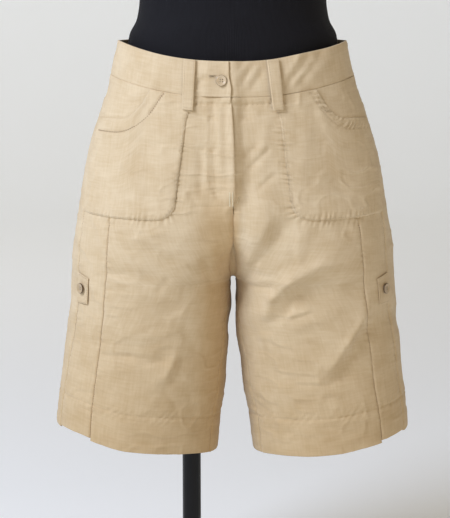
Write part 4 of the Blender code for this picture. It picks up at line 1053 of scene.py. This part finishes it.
# Belt loops: folded strips that stand off the band and are tacked down at both ends.
loopPlan = dict(width=0.0150, length=0.0625, arch=0.0022, seatsAt=0.050, seat=0.0005, taper=0.10,
                crown=0.0004, ripple=0.00022, rippled=0.0085, stitchAcross=0.0052, tackHalf=0.0062,
                tackAt=(0.035, 0.955), tackDrift=0.006)
loopRows = [("beltLoopFrontRight", "belt_loop_front_right", right, 0.0529, 0.0026, False),
            ("beltLoopFrontLeft", "belt_loop_front_left", left, 0.0480, 0.0072, False),
            ("beltLoopBackRight", "belt_loop_back_right", right, 0.0900, 0.0, True),
            ("beltLoopBackCentre", "belt_loop_back_centre", left, 0.0000, 0.0, True),
            ("beltLoopBackLeft", "belt_loop_back_left", left, 0.0900, 0.0, True)]


def loopFace(side, acrossTop, lean, back, fall, width, seed):
    # Strip across the band: across = top + lean * fall + width; lift = arch * sine + small ripples.
    l = loopPlan
    across = acrossTop + lean * fall + width * (1.0 - l["taper"] * fall) + 0 * fall
    drop = l["length"] * fall + 0 * across
    if back:
        behind = angleAt(side, np.abs(across), drop, True)
        angle = np.where(across >= 0, behind, -math.pi - behind)
    else:
        angle = angleAt(side, across, drop)
    lift = (thick["bandProud"] + l["seat"] + cut["seamGap"] + l["arch"] * np.sin(math.pi * fall)
            + (0.0 if back else thick["pocket"] + cut["layerAir"] - thick["bandProud"])
            * easeStep(drop, l["seatsAt"], l["length"]) + thick["loop"])
    out = 2 * width / l["width"]
    crown = l["crown"] * (1 - out ** 4)
    ripple = l["ripple"] * pucker(drop + 0.3 * width, l["rippled"], seed) * np.abs(out)
    return clothFace(side, angle, drop, lift + crown + ripple, life=0.25)


fall = shares(30, 0.012)[:, None]
width = loopPlan["width"] * (shares(10, 0.05)[None, :] - 0.5)
for k, (name, cadNode, side, acrossTop, lean, back) in enumerate(loopRows):
    outer, normal = loopFace(side, acrossTop, lean, back, fall, width, 37 + k)
    rests = "waistband_back" if back else "waistband_front_" + word[side]
    sewnPiece(name, cadNode, outer, normal, thick["loop"], "stretched", rests, "linen_double",
              shift=(0.2 * k, 7.3))
print("belt loops made")

# Side tabs: small patches caught in the side seam, with a slanted upper edge.
tabPlan = dict(frontAngle=44.0, topAtSeam=0.2950, topAtFront=0.3010, bottom=0.3375, wide=0.026, long=0.040,
               ripple=0.00035, rippled=0.0075, rippleReach=0.004, stitchAcross=0.07, stitchDown=0.05)


def tabGrid(side, share, fall):
    # Angle goes from the front edge to the seam by share, drop from the slanted top to the bottom by fall.
    t = tabPlan
    top = t["topAtFront"] + (t["topAtSeam"] - t["topAtFront"]) * share
    drop = top + (t["bottom"] - top) * fall
    return math.radians(t["frontAngle"]) * (1 - share) + seamAngle(side, "side", drop) * share, drop


def tabFace(side, share, fall, lift=0.0):
    # Cloth face + its own layers + ripples that die out away from the sewn edges.
    t = tabPlan
    around, drop = tabGrid(side, share, fall)
    edge = np.minimum(np.minimum(share, 1 - share) * t["wide"], np.minimum(fall, 1 - fall) * t["long"])
    ripple = t["ripple"] * pucker(drop + 0.05 * around, t["rippled"], 41 + side)
    ripple = ripple * np.exp(-(edge / t["rippleReach"]) ** 2)
    return clothFace(side, around, drop, cut["layerAir"] + thick["tab"] + ripple + lift, life=0.5)


for side in (right, left):
    outer, normal = tabFace(side, shares(16, 0.03)[None, :], shares(20, 0.02)[:, None])
    sewnPiece("sideTab" + title[side], "side_tab_" + word[side], outer, normal, thick["tab"], "laid",
              "side_panel_" + word[side], "linen_double", shift=(8.3, side))
print("side tabs made")


def lathe(name, profile, steps, material, centre=None, turn=None):
    # A profile of (radius, height) turned round Z; where the radius is 0 the end is one point.
    profile = np.asarray(profile, float)
    around = np.linspace(0, 2 * math.pi, steps, endpoint=False)
    closed = [k for k in (0, len(profile) - 1) if profile[k, 0] == 0]
    rings = [k for k in range(len(profile)) if k not in closed]
    out, up = profile[rings, 0][:, None], profile[rings, 1][:, None]
    points = np.stack((out * np.cos(around), out * np.sin(around), up + 0 * around), axis=-1).reshape(-1, 3)
    shareOut = np.repeat(profile[rings, 0] / profile[:, 0].max(), steps)
    quads = gridQuads(len(rings), steps, loop=True)
    if not closed:
        last = np.arange(steps) + (len(rings) - 1) * steps
        quads = np.concatenate((quads, np.stack((last, np.roll(last, -1), np.roll(np.arange(steps), -1),
                                                 np.arange(steps)), axis=-1)))
    triangles = []
    for k in closed:
        ring = np.arange(steps) + (0 if k == 0 else (len(rings) - 1) * steps)
        pair = (ring, np.roll(ring, -1)) if k == 0 else (np.roll(ring, -1), ring)
        triangles.append(np.stack((np.full(steps, len(points)), *pair), axis=-1))
        points = np.concatenate((points, [[0, 0, profile[k, 1]]]))
    triangles = np.concatenate(triangles) if triangles else None
    if turn is not None:
        points = points @ np.array(turn).T
    if centre is not None:
        points = points + np.asarray(centre)
    shareOut = np.concatenate((shareOut, np.zeros(len(closed))))
    uv = np.stack((shareOut, 0 * shareOut), axis=1)
    return faceOutwards(addMesh(name, points, quads, material, triangles=triangles, uv=uv))


def faceOutwards(piece):  # recalculates the faces' directions on a closed shape
    mesh = bmesh.new()
    mesh.from_mesh(piece.data)
    bmesh.ops.recalc_face_normals(mesh, faces=mesh.faces)
    mesh.to_mesh(piece.data)
    mesh.free()
    return piece


buttonPlan = dict(radius=0.0069, high=0.0030, seat=0.0004, waistAcross=0.0145, waistSeen=0.0500,
                  tabAngle=36.5, tabDrop=0.3155, holeRadius=0.00075, holeApart=0.00135)
# Dished middle, rounded rim, undercut back; shares of the radius and of the height.
buttonOutline = [(0.00, 0.66), (0.20, 0.665), (0.40, 0.69), (0.52, 0.75), (0.62, 0.85), (0.72, 0.94),
                 (0.80, 0.985), (0.87, 1.00), (0.93, 0.96), (0.98, 0.84), (1.00, 0.68), (0.99, 0.50),
                 (0.95, 0.30), (0.88, 0.12), (0.80, 0.00), (0.00, 0.00)]


def buttonFrame(side, angle, drop, lift):  # where a button sits, and how it is turned
    lift = lift + buttonPlan["seat"] + cut["seamGap"]
    point, normal = clothFace(side, np.array(angle), np.array(drop), lift, life=0.0)
    return point, np.array(Vector(normal).to_track_quat("Z", "Y").to_matrix())


buttonSpots = [("waistButton", "waist_button", right, resin,
                *onFront(right, buttonPlan["waistAcross"], buttonPlan["waistSeen"]),
                thick["bandProud"] + bandPlan["lift"])]
# The tab buttons take the darker resin: painted shade.
for side in (right, left):
    buttonSpots.append(("tabButton" + title[side], "tab_button_" + word[side], side, tabResin,
                        math.radians(buttonPlan["tabAngle"]), buttonPlan["tabDrop"],
                        cut["layerAir"] + thick["tab"]))
outline = np.array(buttonOutline) * (buttonPlan["radius"], buttonPlan["high"])
buttonAt = {}
for name, cadNode, side, horn, *spot in buttonSpots:
    buttonAt[name] = buttonFrame(side, *spot)
    place(lathe(name, outline, 56, horn, *buttonAt[name]), "button_resin", cadNode)
print("buttons made")


# The form: how far it lies inside the cloth, and its bare top.
formRings = columns(
    "drop sideAir frontAir backAir",
    (-0.010, 0.0140, 0.0120, 0.0130), (0.010, 0.0120, 0.0100, 0.0110), (0.030, 0.0098, 0.0078, 0.0085),
    (0.050, 0.0068, 0.0055, 0.0060), (0.070, 0.0042, 0.0034, 0.0036), (0.088, 0.0023, 0.0023, 0.0023),
    (0.102, 0.0023, 0.0023, 0.0023), (0.122, 0.0060, 0.0050, 0.0045), (0.145, 0.0110, 0.0080, 0.0060),
    (0.170, 0.0170, 0.0120, 0.0100), (0.195, 0.0260, 0.0180, 0.0180), (0.218, 0.0400, 0.0270, 0.0300),
    (0.234, 0.0620, 0.0400, 0.0450), (0.241, 0.0850, 0.0560, 0.0620))
formTop = columns(
    "drop halfWidth front back",
    (-0.088, 0.1135, 0.0800, 0.0780), (-0.084, 0.1168, 0.0830, 0.0810), (-0.062, 0.1195, 0.0850, 0.0830),
    (-0.040, 0.1212, 0.0870, 0.0850), (-0.024, 0.1248, 0.0890, 0.0880))
formCells, topSquare, knitRadius = 160, 2.2, 0.13
around = np.linspace(0, 2 * math.pi, formCells, endpoint=False)
frontShare, backShare = np.maximum(np.sin(around), 0) ** 2, np.minimum(np.sin(around), 0) ** 2


def oval(halfWidth, front, back, square, z):
    # Superellipse: half width * cosine ^ (2 / square) across, depth * sine ^ (2 / square) to front or back.
    cosine, sine = np.cos(around), np.sin(around)
    depth = np.where(sine > 0, front, back)
    return np.stack((halfWidth * np.sign(cosine) * np.abs(cosine) ** (2 / square),
                     -depth * np.sign(sine) * np.abs(sine) ** (2 / square), z + 0 * cosine), axis=-1)


keyRings = [oval(w, a, b, topSquare, cut["waistZ"] - d) for d, w, a, b in zip(*formTop.values())]
for drop, sideAir, frontAir, backAir in zip(*formRings.values()):
    halfWidth, front, back, square = [readColumn(sections, name, np.array(drop))
                                      for name in ("halfWidth", "front", "back", "square")]
    waist = (1.0 - easeStep(drop, *cut["dipFades"])) * easeStep(drop, -0.02, 0.03)
    dip = cut["frontDip"] * frontShare - cut["backRise"] * backShare
    keyRings.append(oval(halfWidth - sideAir, front - frontAir, back - backAir, square,
                         cut["waistZ"] - drop - waist * dip))
keyRings = np.array(keyRings)
steps = np.linalg.norm(np.diff(keyRings, axis=0), axis=-1).mean(1)
run = np.concatenate(([0.0], np.cumsum(steps)))
slope = np.gradient(keyRings, run, axis=0)
fine = np.unique(np.concatenate((np.linspace(0, run[-1], 120), run)))
i = np.clip(np.searchsorted(run, fine, side="right") - 1, 0, len(run) - 2)
t, stretch = ((fine - run[i]) / steps[i])[:, None, None], steps[i][:, None, None]
skin = cubic(t, stretch, keyRings[i], keyRings[i + 1], slope[i], slope[i + 1])
for share in (0.985, 0.6):  # the top turns in to a flat end
    ring = skin[0] * (share, share, 1.0)
    ring[:, 2] = skin[0, :, 2].max()
    skin = np.concatenate((ring[None], skin))
for share in (0.8, 0.4):
    skin = np.concatenate((skin, skin[-1:] * (share, share, 1.0)))
count = len(skin)
poles = [[0, 0, skin[k, :, 2].mean()] for k in (0, -1)]
points = np.concatenate((skin.reshape(-1, 3), poles))
first, last = np.arange(formCells), np.arange(formCells) + (count - 1) * formCells
middle = np.full(formCells, count * formCells)
ends = np.concatenate((np.stack((middle, np.roll(first, -1), first), -1),
                       np.stack((middle + 1, last, np.roll(last, -1)), -1)))
knit = np.stack((around[None, :] * knitRadius + 0 * skin[..., 0], skin[..., 2]), axis=-1).reshape(-1, 2)
knit = np.concatenate((knit, np.zeros((2, 2))))
quads = gridQuads(count, formCells, loop=True)
formSkin = addMesh("formJersey", points, quads, jersey, triangles=ends, uv=knit)
faceOutwards(formSkin)
place(formSkin, "black_jersey", "form_torso")
for name in ("form_cap", "form_pole", "base_hub", "base_plate"):
    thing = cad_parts[name]
    if not thing.material_slots:
        thing.data.materials.append(paint)
    for slot in thing.material_slots:
        slot.material = paint
print("form and stand made")


sewing = dict(stitch=0.0021, pitch=0.0031, wide=0.00052, high=0.00034, sunk=0.00006)


def capsules(middles, along, upward, length, wide, high, sides=6):
    # Each stitch: a short rounded thread of three rings, whose two ends dip into the cloth.
    sideways = np.cross(upward, along)
    station, swell, dip = np.array([[-0.34, 0.0, 0.34], [0.82, 1.0, 0.82], [-0.35, 0.0, -0.35]])
    turn = np.linspace(0, 2 * math.pi, sides, endpoint=False)
    out = swell[:, None] * np.cos(turn) * wide / 2
    up = swell[:, None] * np.sin(turn) * high / 2 + dip[:, None] * high
    rings = (middles[:, None, None] + along[:, None, None] * (station * length)[None, :, None, None]
             + sideways[:, None, None] * out[None, :, :, None] + upward[:, None, None] * up[None, :, :, None])
    ends = (middles[:, None] + along[:, None] * np.array([-0.5, 0.5])[None, :, None] * length
            - upward[:, None] * 0.9 * high)
    points = np.concatenate((rings.reshape(len(middles), 3 * sides, 3), ends), axis=1)
    ring = np.arange(sides)
    quads = gridQuads(3, sides, loop=True)
    first, last = np.full(sides, 3 * sides), np.full(sides, 3 * sides + 1)
    caps = np.concatenate((np.stack((first, np.roll(ring, -1), ring), -1),
                           np.stack((last, 2 * sides + ring, 2 * sides + np.roll(ring, -1)), -1)))
    offset = np.arange(len(middles))[:, None, None] * (3 * sides + 2)
    return points.reshape(-1, 3), (quads[None] + offset).reshape(-1, 4), (caps[None] + offset).reshape(-1, 3)


def sew(name, rows, slot="linen", spun=thread, wide=1.0):
    # Rows are (points, normals) polylines on the cloth; stitches are set along them at an even pitch, or
    # with the pitch, length and turn that a row brings; a turned stitch lies across its row.
    s = sewing
    middles, along, upward = [], [], []
    for points, normals, *own in rows:
        pitch, stitch, turned = own if own else (s["pitch"], s["stitch"], False)
        run = runAlong(points)
        at = np.arange(pitch * 0.6, run[-1] - pitch * 0.5, pitch)
        if not len(at):
            continue

        def sample(values, where):
            return np.stack([np.interp(where, run, values[:, k]) for k in range(3)], axis=-1)

        direction = unit(sample(points, at + stitch / 2) - sample(points, at - stitch / 2))
        up = sample(normals, at)
        up = unit(up - (up * direction).sum(-1, keepdims=True) * direction)
        if turned:
            direction = np.cross(up, direction)
        middles.append(sample(points, at) + up * (s["high"] / 2 - s["sunk"]))
        along.append(direction * (stitch / s["stitch"]))
        upward.append(up)
    middles, along, upward = [np.concatenate(part) for part in (middles, along, upward)]
    points, quads, caps = capsules(middles, along, upward, s["stitch"], s["wide"] * wide, s["high"])
    piece = addMesh(name, points, quads[:, ::-1], spun, triangles=caps[:, ::-1])
    print("stitches %s: %d" % (name, len(middles)))
    return place(faceOutwards(piece), slot)


def onPanel(path, lift=0.0):  # a line sewn on the panels
    marks = sharedMarks[path["side"]] + pocketMarks[path["side"]]
    return clothFace(*path.values(), lift, marks=marks)


def onPocket(path):  # a line sewn on a pocket: its face with no more lift than its own layers
    points = bareFace(*path.values())
    across, seen = path["side"] * points[:, 0], cut["waistZ"] - points[:, 2]
    lift = pocketAir(across, seen) + thick["pocket"]
    return clothFace(*path.values(), lift, marks=pocketMarks[path["side"]])


fineStep = 0.0015
# Sewn in the dark thread, the seams, the line under the band and the right opening's line carry painted
# shadow.
openingThread = {right: dict(spun=seamThread, wide=1.9), left: {}}
for side in (right, left):
    sew("hemStitch" + title[side], [onPanel(hemPath(side, fineStep))])
    seams = [onPanel(seamPath(side, "front", 0.226, 0.541, fineStep), -0.0002),
             onPanel(seamPath(side, "side", 0.060, 0.541, fineStep), -0.0001)]
    sew("seamStitch" + title[side], seams, spun=seamThread, wide=1.7)
    under = ringPath(side, 0.0530, math.radians(42), math.radians(87), fineStep)
    sew("underBandStitch" + title[side], [onPanel(under)], spun=seamThread)
    sew("pocketStitch" + title[side], [onPocket(pocketRim(side, 0.0020))])
    opening = frontPath(side, openingStitch[side])
    sew("openingStitch" + title[side], [onPocket(opening)], **openingThread[side])


# Seams turn in to their allowances: a narrow strip of the cloth lies just under each seam.
ditchPlan = dict(half=0.0016, deep=0.00050, wall=0.00040)


def ditch(name, path, lift=0.0):
    # Strip = the path's line + offsets square to it in the cloth - normal * depth.
    points, normals = clothFace(*path.values(), lift, marks=sharedMarks[path["side"]])
    across = np.cross(normals, unit(np.gradient(points, axis=0)))[:, None]
    offsets = np.linspace(-1, 1, 5)[None, :, None] * ditchPlan["half"]
    outer = points[:, None] + across * offsets - normals[:, None] * ditchPlan["deep"]
    normal = np.broadcast_to(normals[:, None], outer.shape)
    place(shell(name, outer, normal, ditchPlan["wall"], linen, shift=(5.1, 0.3)), "linen")


for side, bandLift in ((right, 0.0010), (left, 0.0006)):
    band = ringPath(side, cut["bandHeight"] + 0.00015, -math.pi / 2, math.radians(88))
    ditch("ditchFrontSeam" + title[side], seamPath(side, "front", 0.206, 0.543))
    ditch("ditchSideSeam" + title[side], seamPath(side, "side", 0.047, 0.543))
    ditch("ditchInseam" + title[side], innerPath(side, 0.309, 0.543))
    ditch("ditchBand" + title[side], band, bandLift)
ditch("ditchCentreBack", backPath(right, 0.047, 0.300))
ditch("ditchCentreFront", innerPath(right, 0.214, 0.262))

# Below the fly the two fronts part a little, down to the crotch, over the allowances folded in behind them.
gussetPlan = dict(top=0.250, bottom=0.3046, half=0.0068, deep=0.0012, hollow=0.0030, wall=0.0008, sag=0.0075,
                  sagFrom=0.272)
g = gussetPlan
drop = np.linspace(g["top"], g["bottom"], 32)
points, normals = clothFace(right, frontStart(drop), drop, marks=sharedMarks[right])
points, normals = points * (0, 1, 1), unit(normals * (0, 1, 1))
offsets = np.linspace(-1, 1, 9)[None, :, None]
outer = points[:, None] + offsets * g["half"] * np.array((1.0, 0, 0)) \
    - normals[:, None] * (g["deep"] + g["hollow"] * (1 - offsets ** 2))
outer[..., 2] -= g["sag"] * easeStep(drop, g["sagFrom"], g["bottom"])[:, None]
normal = np.broadcast_to(normals[:, None], outer.shape)
place(shell("crotchAllowance", outer, normal, g["wall"], linen), "linen")


def onFly(knots, lift=0.0):  # a line sewn on the overlapping front
    path = frontPath(right, knots)
    across = np.abs(bareFace(*path.values())[:, 0])
    return clothFace(*path.values(), flyRise(across, path["drop"]) + lift, marks=sharedMarks[right])


sew("flyStitch", [onFly(stitchPlan)])
# Bar tacks at the foot of the fly: two upright ones and a short slanting one, with pitch, length and turn.
tacks = [onFly([(0.0042, 0.1860), (0.0042, 0.1955), (0.0041, 0.2045)], 0.0002) + (0.0005, 0.0017, True),
         onFly([(0.0006, 0.1860), (0.0006, 0.1955), (0.0005, 0.2045)], 0.0002) + (0.0005, 0.0015, True),
         onPanel(frontPath(left, [(0.0078, 0.1925), (0.0062, 0.1965), (0.0048, 0.2010)]), 0.0002)
         + (0.0005, 0.0013, True)]
sew("flyTacks", tacks, spun=tackThread, wide=1.3)

# Buttonhole: a slit edged by close upright stitches; the slit itself is a near-black sheet, painted shade of
# the opening.
holePlan = dict(start=0.0210, end=0.0300, seen=0.0445, lip=0.0011, slit=0.00055, proud=0.0001, wall=0.0003,
                steps=26, stitch=(0.0005, 0.0015, True))
h = holePlan
angle, level = onFront(right, np.linspace(h["start"], h["end"], h["steps"]), h["seen"])
opening = h["slit"] * np.sin(np.linspace(0.15, math.pi - 0.15, h["steps"]))[None, :]
lips = np.linspace(-1, 1, 5)[:, None] * opening
outer, normal = bandFace(right, angle[None, :], level[None, :] + lips, bandRise)
place(shell("buttonholeSlit", outer + normal * h["proud"], normal, h["wall"], holeDark), "linen")
rows = []
for lip in (-1, 1):
    outer, normal = bandFace(right, angle[None, :], level[None, :] + lip * h["lip"], bandRise)
    rows.append((outer[0], normal[0], *h["stitch"]))
sew("buttonholeStitches", rows, "linen_double")

# Each button: four holes, near-black discs of painted shade, and two bars of thread.
barPlan = dict(seat=0.675, holeProud=0.00008, holeDeep=0.0003, high=0.00025, bar=(0.0037, 0.0008, 0.0006))
b = barPlan
apart, seat, radius = buttonPlan["holeApart"], b["seat"] * buttonPlan["high"], buttonPlan["holeRadius"]
upper, lower = seat + b["holeProud"], seat - b["holeDeep"]
for name, (point, turn) in buttonAt.items():
    for k, (x, y) in enumerate(((-1, -1), (1, -1), (-1, 1), (1, 1))):
        disc = [(0.0, upper), (radius, upper), (radius, lower), (0.0, lower)]
        spot = point + turn @ np.array([x * apart, y * apart, 0.0])
        place(lathe("%sHole%d" % (name, k + 1), disc, 14, holeDark, spot, turn), "button_resin")
    middles = np.array([point + turn @ np.array([0.0, y * apart, seat + b["high"]]) for y in (-1, 1)])
    along, upward = np.tile(turn[:, 0], (2, 1)), np.tile(turn[:, 2], (2, 1))
    points, quads, caps = capsules(middles, along, upward, *b["bar"])
    place(faceOutwards(addMesh(name + "Thread", points, quads, thread, triangles=caps)), "button_resin")

l, rows = loopPlan, []
fall, width = np.linspace(0.02, 0.98, 60)[:, None], np.linspace(-l["tackHalf"], l["tackHalf"], 24)[None, :]
for k, (name, cadNode, side, acrossTop, lean, back) in enumerate(loopRows):
    for edge in (-1, 1):
        inset = np.array([[edge * l["stitchAcross"]]])
        outer, normal = loopFace(side, acrossTop, lean, back, fall, inset, 37 + k)
        rows.append((outer[:, 0], normal[:, 0]))
    for where in l["tackAt"]:  # bar tacks: close stitches across each end
        for drift in (-l["tackDrift"], l["tackDrift"]):
            outer, normal = loopFace(side, acrossTop, lean, back, np.array([[where + drift]]), width, 37 + k)
            rows.append((outer[0], normal[0], 0.0011, 0.0010, False))
sew("loopStitches", rows, "linen_double")

x, y = tabPlan["stitchAcross"], tabPlan["stitchDown"]
t, s = np.linspace(x, 1 - x, 30), np.linspace(y, 1 - y, 40)
rows = [(*tabFace(side, share, fall), 0.0026, 0.0018, False) for side in (right, left)
        for share, fall in ((t, np.full(30, y)), (t, np.full(30, 1 - y)), (np.full(40, x), s))]
# Round the tabs the dark thread is painted shadow at their edges.
sew("tabStitches", rows, "linen_double", seamThread)
print("sewing made")


stagePlan = dict(radius=6.2, bend=1.5, top=2.6, floor=-0.0005, colour=(0.790, 0.832, 0.865),
                 glow=(1.0, 0.985, 0.955), glowStrength=0.21)
# A round bowl: flat floor, a quarter-circle bend, then a low wall.
s = stagePlan
flat = s["radius"] - s["bend"]
profile = [(out, s["floor"]) for out in (0.0, 1.5, 3.2)]
profile += [(flat + s["bend"] * math.sin(b), s["bend"] * (1 - math.cos(b)) + s["floor"])
            for b in np.linspace(0, math.pi / 2, 24)]
profile += [(s["radius"], s["top"])]
paper, tree, shader = newMaterial("stagePaper", s["colour"], Roughness=0.95, Specular_IOR_Level=0.1,
                                  Emission_Color=(*s["glow"], 1.0), Emission_Strength=s["glowStrength"])
mottle = noise(tree, objectSpace(tree), 3.0)
tint = blendColour(tree, mottle, [0.985 * c for c in s["colour"]], s["colour"])
tree.links.new(tint, shader.inputs["Base Color"])
lathe("studioBowl", profile, 96, paper)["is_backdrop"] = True

lightPlan = dict(world=(0.580, 0.480, 0.350), worldStrength=0.42)
lights = [
    # name, place, aimed at, energy, size, colour
    ("key", (-1.8, -1.4, 2.35), (0.0, 0.0, 0.62), 64.0, 1.3, (1.0, 1.08, 1.30)),
    ("fill", (1.5, -2.4, 0.25), (0.0, 0.0, 0.35), 13.0, 2.0, (1.0, 0.70, 0.36)),
    ("backdrop", (-1.2, 2.2, 3.4), (-2.2, 6.2, 1.2), 42.0, 3.0, (1.0, 0.97, 0.94))]
world = bpy.context.scene.world or bpy.data.worlds.new("studio")
bpy.context.scene.world = world
world.use_nodes = True
background = world.node_tree.nodes["Background"]
background.inputs[0].default_value = (*lightPlan["world"], 1.0)
background.inputs[1].default_value = lightPlan["worldStrength"]
for name, spot, aim, energy, size, colour in lights:
    data = bpy.data.lights.new(name, "AREA")
    data.energy, data.shape, data.size, data.color = energy, "DISK", size, colour
    lamp = bpy.data.objects.new(name, data)
    lamp.location = spot
    lamp.rotation_euler = (Vector(aim) - Vector(spot)).to_track_quat("-Z", "Y").to_euler()
    lamp.visible_camera = False
    bpy.context.scene.collection.objects.link(lamp)

cameraPlan = dict(place=(-0.0102, -1.9, 0.767), tilt=8.461, lens=100.9)
data = bpy.data.cameras.new("camera")
data.lens, data.sensor_height, data.sensor_fit = cameraPlan["lens"], 36.0, "VERTICAL"
data.clip_start, data.clip_end = 0.05, 50.0
camera = bpy.data.objects.new("camera", data)
camera.location = cameraPlan["place"]
camera.rotation_euler = (math.radians(90 - cameraPlan["tilt"]), 0.0, 0.0)
bpy.context.scene.collection.objects.link(camera)
bpy.context.scene.camera = camera
bpy.context.scene.view_settings.view_transform = "Standard"
bpy.context.scene.view_settings.look = "None"

low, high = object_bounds()
